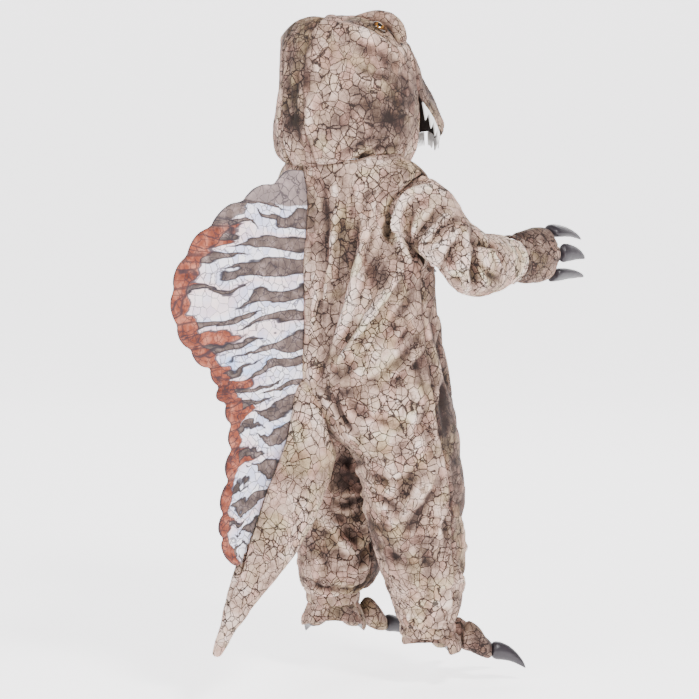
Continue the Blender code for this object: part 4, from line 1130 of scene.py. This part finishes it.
# Darker and lighter patches, partly the print's own tone (on the hood) and partly painted light and
# shade (painted shade under the arm and between the legs, painted light on the back and the
# sleeve):
# place in the frame, reach in millimetres, amount
PRINT_AND_SHADE_PATCHES = (
    (385, 80, 46, -0.9), (362, 55, 30, -0.6), (394, 116, 32, -0.8), (298, 66, 30, -0.45),
    (290, 120, 30, -0.35), (350, 112, 24, 0.35), (340, 150, 28, 0.35), (372, 138, 22, 0.2),
    (345, 178, 24, -0.6), (400, 176, 26, -0.6), (322, 172, 18, -0.5), (436, 300, 30, -0.9),
    (428, 350, 30, -0.8), (448, 420, 30, -0.7), (402, 372, 20, -0.4), (422, 276, 26, -1.2),
    (370, 400, 45, 0.45), (455, 480, 34, -0.7), (402, 470, 20, -0.7), (374, 470, 22, -0.7),
    (410, 522, 26, -0.5), (340, 475, 36, -1.0), (372, 530, 30, -1.0), (352, 502, 28, -0.8),
    (330, 550, 26, 0.3), (420, 580, 40, 0.3), (440, 262, 26, 0.5), (490, 268, 26, 0.5),
    (348, 300, 46, 0.9), (368, 262, 28, 0.6), (352, 345, 26, 0.4),
)
# Reach of the ragged edges; how weak and how much lower the patches are on the wearer's left
RAGGEDNESS = 34
PATCH_SHARE, PATCH_DROP = 0.6, 12
# The crease height that gives the full painted shade, the darkest and palest painted shade of the
# creases alone, and the darkest and palest that painted shade and patches together can be
CREASE_SHADE_HEIGHT = 5.5
CREASE_SHADE_RANGE, SHADE_AND_PATCH_RANGE = (-0.85, 0.5), (-1.2, 0.9)
CLOTH_DEPTH = 1.7 * MM

patches_placed = []
for u, v, reach, amount in PRINT_AND_SHADE_PATCHES:
    centre, _ = outline_place(costume, u, v)
    patches_placed.append((centre, reach, amount))
    if abs(centre[0]) > reach:
        other = centre * (-1, 1, 1) - (0, 0, PATCH_DROP)
        patches_placed.append((other, reach, PATCH_SHARE * amount))

areas = {}
for name, piece in skins.items():
    sheet = sheets[name]
    shade_attribute = piece.data.attributes.new("shade_and_patches", "FLOAT", "POINT")
    # Painted shade in the creases and painted highlight on the ridges
    shade = np.clip(sheet["lift"] / CREASE_SHADE_HEIGHT, *CREASE_SHADE_RANGE)
    warp = np.stack([waves(sheet["places"], 26, seed) for seed in (11.3, 17.9, 23.1)], axis=1)
    warped = sheet["places"] + RAGGEDNESS * warp
    # Patches of the print's own tone and of painted light and shade
    for centre, reach, amount in patches_placed:
        shade += amount * np.exp(-((warped - centre) ** 2).sum(axis=1) / reach ** 2)
    shade_attribute.data.foreach_set("value", np.clip(shade, *SHADE_AND_PATCH_RANGE).astype(np.float32))
    put_coordinates(piece, sheet["places"] + sheet["normals"] * sheet["lift"][:, None])
    piece.data.materials.append(velour[name])
    piece.data.materials.append(jaw_lining_and_shade if name == "upper_jaw" else cloth_back)
    areas[name] = flat_area(piece)
    thickened(piece, CLOTH_DEPTH)
    dress(piece, "print", name)
print("areas", {name: round(area, 3) for name, area in areas.items()})

CUTS = {
    "back": (0.22, 0.74), "front": (0.22, 0.72), "sleeve": (0.34, 0.24), "hood": (0.23, 0.25),
    "hood_gusset": (0.055, 0.37), "upper_jaw": (0.28, 0.19),
}
for name, piece in skins.items():
    cut = CUTS.get(name) or CUTS[name.split("_")[0]]
    min(areas[name], cut[0] * cut[1])

# %% [markdown]
# Small sewn pieces
# The elastic casings, the hand and foot covers, the brow rolls and the toes are small. They start
# as smooth copies of their solids, and get the same soft unevenness as the panels. The padded hand
# covers are quilted with two lines of stitching, and the brows run down into the crown.


# %% Refine the small pieces
QUILT_LINES = (0.34, 0.66)
QUILT_DEPTH, QUILT_WIDTH = 1.9, 1.7
BROW_DROP, BROW_REACH = 15, 9
# Kind of piece; levels of smoothing, height and scale of its unevenness
SMALL_KINDS = (
    ("wrist_casing", 3, 0.9, 8), ("ankle_casing", 3, 0.9, 9), ("hand_cover", 3, 0.9, 16),
    ("foot_flap", 3, 0.8, 14), ("brow", 3, 0.7, 12),
)
def refined(node, name, levels, amount, scale):
    """A smooth copy of a closed CAD solid with a soft unevenness."""
    piece = copied(node, name)
    quads(piece)
    smoothed(piece, levels)
    places, normals = coordinates(piece)
    lift = amount * waves(places, scale, 4.7) + 0.4 * amount * waves(places, scale / 2.3, 9.1)
    put_coordinates(piece, places + normals * lift[:, None])
    only(piece)
    bpy.ops.object.shade_smooth()
    return piece


def quilted(piece):
    """Press two lines of stitching along a padded piece."""
    places, normals = coordinates(piece)
    low, high = places[:, 2].min(), places[:, 2].max()
    for share in QUILT_LINES:
        gap = places[:, 2] - low - share * (high - low) - 1.5 * np.sin(places[:, 1] / 9)
        places -= normals * (QUILT_DEPTH * bell(gap, QUILT_WIDTH))[:, None]
    put_coordinates(piece, places)


def widened(piece, longer, growth):
    """Make a ring longer along its axis, so that its edges tuck under the cloth beside it."""
    places, normals = coordinates(piece)
    middle, axis = own_axis(places, 2)
    run = (places - middle) @ axis
    put_coordinates(piece, places + np.outer(run * (longer - 1), axis) + normals * growth)


def bend_brow(piece):
    """Let the rear end of a brow run down into the crown."""
    places, _ = coordinates(piece)
    middle, axis = own_axis(places, 0)
    axis = axis * np.sign(axis[2])
    run = (places - middle) @ axis
    share = (run - run.min()) / (run.max() - run.min())
    level = np.array([axis[0], axis[1], 0]) / np.hypot(axis[0], axis[1])
    places += np.outer(BROW_REACH * share ** 2, level)
    places[:, 2] -= BROW_DROP * share ** 3
    put_coordinates(piece, places)


small = {}
for _, word in SIDES:
    for kind, levels, amount, scale in SMALL_KINDS:
        node = f"{kind}_{word}"
        small[node] = refined(node, f"cloth_{node}", levels, amount, scale)
        if kind.endswith("casing"):
            widened(small[node], 1.5, 0.6)
        elif kind == "brow":
            bend_brow(small[node])
        elif kind == "hand_cover":
            quilted(small[node])
    for k in (1, 2, 3):
        node = f"toe_{word}_{k}"
        small[node] = refined(node, f"cloth_{node}", 3, 1.3, 15)
small["front_placket"] = refined("front_placket", "cloth_front_placket", 2, 0.6, 18)
for node, piece in small.items():
    piece.data.materials.append(trim_velour)
    dress(piece, "print", node)
print("small pieces", len(small))

# %% [markdown]
# The tail
# It is sewn from two halves and stuffed, so it bellies out behind, more in the middle of its
# length, and its tip is blunt. Its top is sewn to the seat: it is raised and set into the cloth, so
# that no gap shows.

# %% Make the tail
TAIL_BELLY = 20.0
TIP_GROWTH, TIP_LIFT = 4.0, 0.15
TOP_GROWTH, TOP_SEAT, TOP_RAISE = 2.5, 5.0, 6.0


def belly(places):
    """How far the stuffing pushes the tail and the sail on it backwards, by height."""
    down = -places[:, 2]
    return TAIL_BELLY * smooth_step(down, 320, 470) * (1 - smooth_step(down, 500, 660))


for _, word in SIDES:
    piece = refined(f"tail_{word}", f"cloth_tail_{word}", 3, 1.6, 30)
    places, normals = coordinates(piece)
    rear = smooth_step(normals[:, 1] + 0.6 * normals[:, 2], -0.5, 0.5)
    tip = smooth_step(-places[:, 2], 560, 690)
    places += normals * (TIP_GROWTH * tip)[:, None]
    places[:, 1] += belly(places) * rear
    top = smooth_step(places[:, 2], -400, -322)
    places += normals * (TOP_GROWTH * top)[:, None]
    places[:, 1] -= TOP_SEAT * top
    places[:, 2] += TOP_RAISE * top
    places[:, 2] += TIP_LIFT * np.maximum(0, -600 - places[:, 2])
    put_coordinates(piece, places)
    piece.data.materials.append(tail_velour)
    dress(piece, "print", f"tail_{word}")

# %% [markdown]
# The sail
# It is cut twice from printed cloth, sewn round its scalloped edge, turned and padded. Every place
# on it gets two coordinates here: how far down the row of scallops it lies, and how far out from
# the seam. They place the grooves between the scallops and later the print. Its root is tucked
# into the back and the tail, where it is sewn in.

# %% Make the sail
# Joins of the scallops: reach from the seam, height, height of the same ray on the seam
SAIL_JOINS = (
    (7, 14, 12),
    (50, -6, -14),
    (102, -30, -44),
    (152, -66, -76),
    (190, -108, -108),
    (210, -157, -140),
    (205, -208, -175),
    (182, -244, -208),
    (150, -272, -240),
    (137, -298, -268),
    (107, -322, -298),
    (91, -352, -330),
    (77, -387, -362),
    (62, -431, -405),
    (52, -477, -452),
    (40, -511, -497),
    (7, -556, -550),
)
SAIL_LEAN = math.radians(15)
ROOT_TUCK, TAIL_TUCK, END_TUCK = 7.0, 11.0, 6.0
EDGE_STITCH = 11.0
STEPS_TO_A_SCALLOP = 20
BEHIND_ALL = 600
CARRIERS = ("back_right", "back_left", "tail_right", "tail_left")
carrier = joined_tree([NODES[name] for name in CARRIERS])


def seam_depth(height):
    """How far back the cloth lies under the sail at a height."""
    starts = [Vector((x, BEHIND_ALL, height)) for x in (-2, 2)]
    hits = [carrier.ray_cast(start, Vector((0, -1, 0)))[0] for start in starts]
    return max(hit.y for hit in hits if hit is not None)


def sail_rays():
    """Root and edge of fine rays across the sail, as depth and height."""
    roots, edges = [], []
    for reach, height, root in SAIL_JOINS:
        roots.append((seam_depth(root), root))
        edges.append((seam_depth(min(height, root)) + reach * math.cos(SAIL_LEAN), height))
    keys = np.arange(len(SAIL_JOINS))
    fine = np.linspace(0, keys[-1], keys[-1] * STEPS_TO_A_SCALLOP + 1)
    bend = [np.interp(fine, keys, column) for column in (*zip(*roots), *zip(*edges))]
    return fine, np.array(bend).T


def fan_coordinates(places):
    """How far each point lies down the sail, in scallops, and out along its ray."""
    fine, rays = sail_rays()
    root, edge = rays[:, :2], rays[:, 2:]
    way = edge - root
    length = (way ** 2).sum(axis=1)
    spots = places[:, 1:]
    gaps = spots[:, None, :] - root[None]
    share = (gaps * way[None]).sum(axis=2) / length
    miss = ((gaps - np.clip(share, 0, 1.3)[:, :, None] * way[None]) ** 2).sum(axis=2)
    best = miss.argmin(axis=1)
    return fine[best], share[np.arange(len(places)), best]


sail = copied("sail", "cloth_sail")
quads(sail)
smoothed(sail, 3)
places, normals = coordinates(sail)
down, out = fan_coordinates(places)
groove = bell(down - np.round(down), 0.11) * np.clip((out - 0.62) / 0.3, 0, 1)
edge_points = places[(np.abs(normals[:, 0]) < 0.45) & (out > 0.6)]
edge_gap = distance_to(places, edge_points)
stitched = bell(edge_gap - EDGE_STITCH, 1.6)
puff = 1.1 * waves(places, 30, 6.0) + 0.5 * waves(places, 13, 2.0) + 1.2 * bell(edge_gap - 5, 3.5)
on_tail = smooth_step(-places[:, 2], 275, 315)
at_end = smooth_step(-places[:, 2], 520, 552)
near_root = np.clip(1 - out / (0.16 + 0.14 * on_tail), 0, 1)
puffed = places + normals * (puff - 2.8 * groove - 1.3 * stitched)[:, None]
puffed[:, 1] += belly(places) - (ROOT_TUCK + TAIL_TUCK * on_tail) * near_root - END_TUCK * at_end
put_coordinates(sail, puffed)
hem = sail.data.attributes.new("hem", "FLOAT", "POINT")
hem.data.foreach_set("value", edge_gap.astype(np.float32))
only(sail)
bpy.ops.object.shade_smooth()
fan = sail.data.uv_layers.new(name="fan")
spots = np.stack([down, out], axis=1)
corner_points = np.empty(len(sail.data.loops), dtype=int)
sail.data.loops.foreach_get("vertex_index", corner_points)
fan.data.foreach_set("uv", spots[corner_points].astype(np.float32).ravel())
print("sail points", len(places))

# %% [markdown]
# The sail's print
# Dark wedges start at the seam and taper outwards, and others start at the edge and taper inwards.
# What is left between them is white and lavender. The scallops are rust red. This layout is our
# own: it has the colours and the scale of such a sail, and copies no one's drawing.

# %% Print the sail
made, shader, spot = fabric("velour_sail", 0.85, 0.3)
fan_map = add(made.node_tree, "UVMap", uv_map="fan").outputs[0]
stretched = move("MULTIPLY", fan_map, (1.0, 2.6, 1.0))
sway = centred(cloud(stretched, 0.8, 1.0), 1.7)
ripple = centred(cloud(stretched, 3.2, 1.5), 0.30)
uneven = centred(cloud(stretched, 0.55, 0.0), 0.9)
parts = add(made.node_tree, "SeparateXYZ", {"Vector": fan_map}).outputs
down_s = plus(plus(parts[0], sway), ripple)
out_r = plus(parts[1], times(ripple, 0.3))
out_far = plus(out_r, uneven)


def wedge(count, phase, start, end, low, high):
    """How deep each place lies inside the nearest wedge, below nought outside it."""
    turned = calc("FRACT", plus(times(down_s, count), phase))
    from_middle = calc("ABSOLUTE", centred(turned, 2.0))
    return calc("SUBTRACT", span(out_far, start, end, low, high), from_middle)


def filled(depth, soft=0.04):
    """One inside and nought outside."""
    return span(depth, -soft, soft)


def outline(depth, half):
    """The drawn line along a border."""
    return span(calc("ABSOLUTE", depth), half * 0.4, half * 1.6, 1.0, 0.0)


root_wedge = wedge(0.95, 0.15, 0.10, 0.92, 0.54, -0.12)
edge_wedge = wedge(0.95, 0.62, 0.15, 0.95, -0.12, 0.36)
rust_wedge = wedge(0.53, 0.80, 0.45, 1.00, -0.15, 0.52)
rim_width = plus(0.87, centred(cloud(stretched, 1.7, 1.0), 0.30))
rim_depth = calc("SUBTRACT", out_r, rim_width)
sail_cracks = add(made.node_tree, "Group", {"Place": spot, "Cells": 88.0, "Width": 0.036},
                  node_tree=crack_tree).outputs
chance = add(made.node_tree, "SeparateColor", {"Color": sail_cracks["Cell"]}).outputs
mottle = cloud(spot, 55.0, 4.0, 0.6)

pale = tones(plus(times(chance[0], 0.45), centred(mottle, 0.9)), (
    (0.0, (0.56, 0.58, 0.78)), (0.25, (0.80, 0.78, 0.90)), (0.6, (0.94, 0.91, 0.94)),
))
pale = blend(span(cloud(spot, 16.0), 0.60, 0.68, 0.0, 0.65), pale, (0.30, 0.47, 0.86))
pale = blend(span(rust_wedge, -0.5, 0.0, 0.0, 0.55), pale, (0.90, 0.55, 0.48))
dusk = tones(mottle, (
    (0.30, (0.060, 0.042, 0.038)), (0.52, (0.150, 0.108, 0.096)), (0.75, (0.33, 0.25, 0.24)),
))
rust = tones(mottle, (
    (0.30, (0.09, 0.022, 0.014)), (0.50, (0.25, 0.064, 0.036)), (0.72, (0.48, 0.18, 0.115)),
))
colour = blend(filled(rust_wedge), pale, rust)
for depth in (edge_wedge, root_wedge):
    inside = blend(span(depth, 0.0, 0.22), (0.035, 0.026, 0.025), dusk)
    colour = blend(filled(depth), colour, inside)
rim_step = plus(parts[0], centred(cloud(stretched, 0.9, 0.0), 1.6))
rims = blend(span(rim_step, 2.7, 3.1, 1.0, 0.0), rust, dusk)
colour = blend(filled(rim_depth, 0.02), colour, rims)
top = span(plus(parts[0], times(sway, 0.5)), 1.9, 2.0, 1.0, 0.0)
colour = blend(top, colour, blend(0.35, dusk, (0.42, 0.34, 0.34)))

drawn = outline(rust_wedge, 0.035)
for border, half in ((edge_wedge, 0.04), (root_wedge, 0.04), (rim_depth, 0.009)):
    drawn = calc("MAXIMUM", drawn, outline(border, half))
drawn = times(drawn, calc("SUBTRACT", 1.0, top))
hem_gap = add(made.node_tree, "Attribute", attribute_name="hem").outputs["Fac"]
half_way = calc("ABSOLUTE", calc("SUBTRACT", calc("FRACT", parts[0]), 0.5))
notch = times(span(half_way, 0.44, 0.48), span(parts[1], 0.78, 0.90))
for mark in (span(hem_gap, 0.8, 2.4, 1.0, 0.0), times(notch, 0.8)):
    drawn = calc("MAXIMUM", drawn, mark)
drawn = calc("MAXIMUM", times(drawn, 0.85), times(sail_cracks["Lines"], 0.72))
colour = blend(drawn, colour, (0.028, 0.024, 0.032))
sail_nap = plus(times(cloud(spot, 900.0, 3.0, 0.7), 0.5), times(mottle, 0.8))
finish(shader, colour, sail_nap, 0.6 * MM)
sail.data.materials.append(made)
dress(sail, "sail", "sail")

# %% [markdown]
# Claws
# The claws are sewn from coated cloth with a satin shine and stuffed. They are longer and fuller
# than their solids, and those of the feet bend down to the floor.


# %% Make the claws
def grained(name, roughness, sheen, scale, low, high, grain, depth, more=()):
    """A plain cloth in two tones with a fine grain."""
    made, shader, spot = fabric(name, roughness, sheen, more)
    finish(shader, blend(cloud(spot, scale, 3.0), low, high), cloud(spot, *grain), depth)
    return made


claw_vinyl = grained("coated_cloth", 0.40, 0.0, 45.0, (0.014, 0.011, 0.014), (0.034, 0.028, 0.034),
                     (600.0, 3.0, 0.6), 0.15 * MM,
                     {"Specular IOR Level": 0.4, "Coat Weight": 0.06, "Coat Roughness": 0.2})
# Length and thickness of each claw against its solid, and how far its tip bends down
CLAW_GROWTH = {
    "hand": {1: (1.35, 1.35, 4), 2: (1.04, 1.3, 0), 3: (1.35, 1.35, -6)},
    "foot": {1: (1.10, 1.25, 16), 2: (1.06, 1.25, 16), 3: (1.10, 1.25, 16)},
}
# The claws of the left hand stay near the length of their solids
LEFT_LENGTH = 1.05


def grown(piece, longer, thicker, droop):
    """Make a claw longer and thicker from its root on."""
    places, _ = coordinates(piece)
    middle, axis = own_axis(places, 0)
    axis = -axis * np.sign(axis[1])
    root = middle + axis * ((places - middle) @ axis).min()
    run = (places - root) @ axis
    beside = places - root - run[:, None] * axis
    moved = root + (run * longer)[:, None] * axis + beside * thicker
    moved[:, 2] -= droop * np.clip(run / run.max(), 0, 1) ** 2.2
    put_coordinates(piece, moved)


for _, word in SIDES:
    for kind in ("hand", "foot"):
        for k in (1, 2, 3):
            node = f"{kind}_claw_{word}_{k}"
            piece = refined(node, f"vinyl_{node}", 3, 0.25, 9)
            longer, thicker, droop = CLAW_GROWTH[kind][k]
            if node.startswith("hand_claw_left"):
                longer = min(longer, LEFT_LENGTH)
            grown(piece, longer, thicker, droop)
            piece.data.materials.append(claw_vinyl)
            dress(piece, "claw", node)
# %% [markdown]
# Teeth
# The teeth are points cut from a strip of white felt, which hangs from the edge of the jaw. They
# stay as flat and as sharp as they were cut, so only the jaw's own change of shape is given them.

# %% Make the teeth
felt = grained("felt", 0.95, 0.4, 90.0, (0.78, 0.77, 0.75), (0.90, 0.89, 0.87),
               (520.0, 4.0, 0.7), 0.5 * MM)
for _, word in SIDES:
    piece = copied(f"teeth_{word}", f"felt_teeth_{word}")
    put_coordinates(piece, draw_jaw_back(coordinates(piece)[0]))
    only(piece)
    bpy.ops.object.shade_smooth_by_angle(angle=math.radians(40))
    piece.data.materials.append(felt)
    dress(piece, "felt", f"teeth_{word}")

# %% [markdown]
# Eyes
# Each eye is a glossy dome of amber with a dark pupil, painted around the place that looks out to
# the side and up.

# %% Make the eyes
PUPIL, IRIS = 3.8 * MM, 7.5 * MM


def eye_glass(name, centre):
    """Amber glass with a dark pupil around a place on the eye."""
    made, shader, spot = fabric(name, 0.12, 0.0, {"Specular IOR Level": 0.6, "Coat Weight": 1.0})
    gap = add(made.node_tree, "VectorMath", {0: spot, 1: centre}, operation="DISTANCE")
    gap = gap.outputs["Value"]
    amber = blend(cloud(spot, 420.0, 3.0), (0.10, 0.034, 0.006), (0.36, 0.16, 0.022))
    amber = blend(span(gap, IRIS * 0.7, IRIS), amber, (0.05, 0.02, 0.006))
    pupil = span(gap, PUPIL * 0.85, PUPIL * 1.1, 1.0, 0.0)
    feed(shader.inputs["Base Color"], blend(pupil, amber, (0.004, 0.003, 0.003)))
    return made
for side, word in SIDES:
    piece = refined(f"eye_{word}", f"button_eye_{word}", 2, 0.0, 9)
    places, _ = coordinates(piece)
    facing = np.array([side * 0.72, 0.25, 0.65])
    front = places[(places @ facing).argmax()]
    piece.data.materials.append(eye_glass(f"eye_{word}", front * MM))
    dress(piece, "eye", f"eye_{word}")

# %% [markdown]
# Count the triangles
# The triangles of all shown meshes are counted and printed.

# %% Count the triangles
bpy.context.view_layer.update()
meshes = [piece.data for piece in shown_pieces() if piece.type == "MESH"]
print("triangles", sum(len(p.vertices) - 2 for mesh in meshes for p in mesh.polygons))
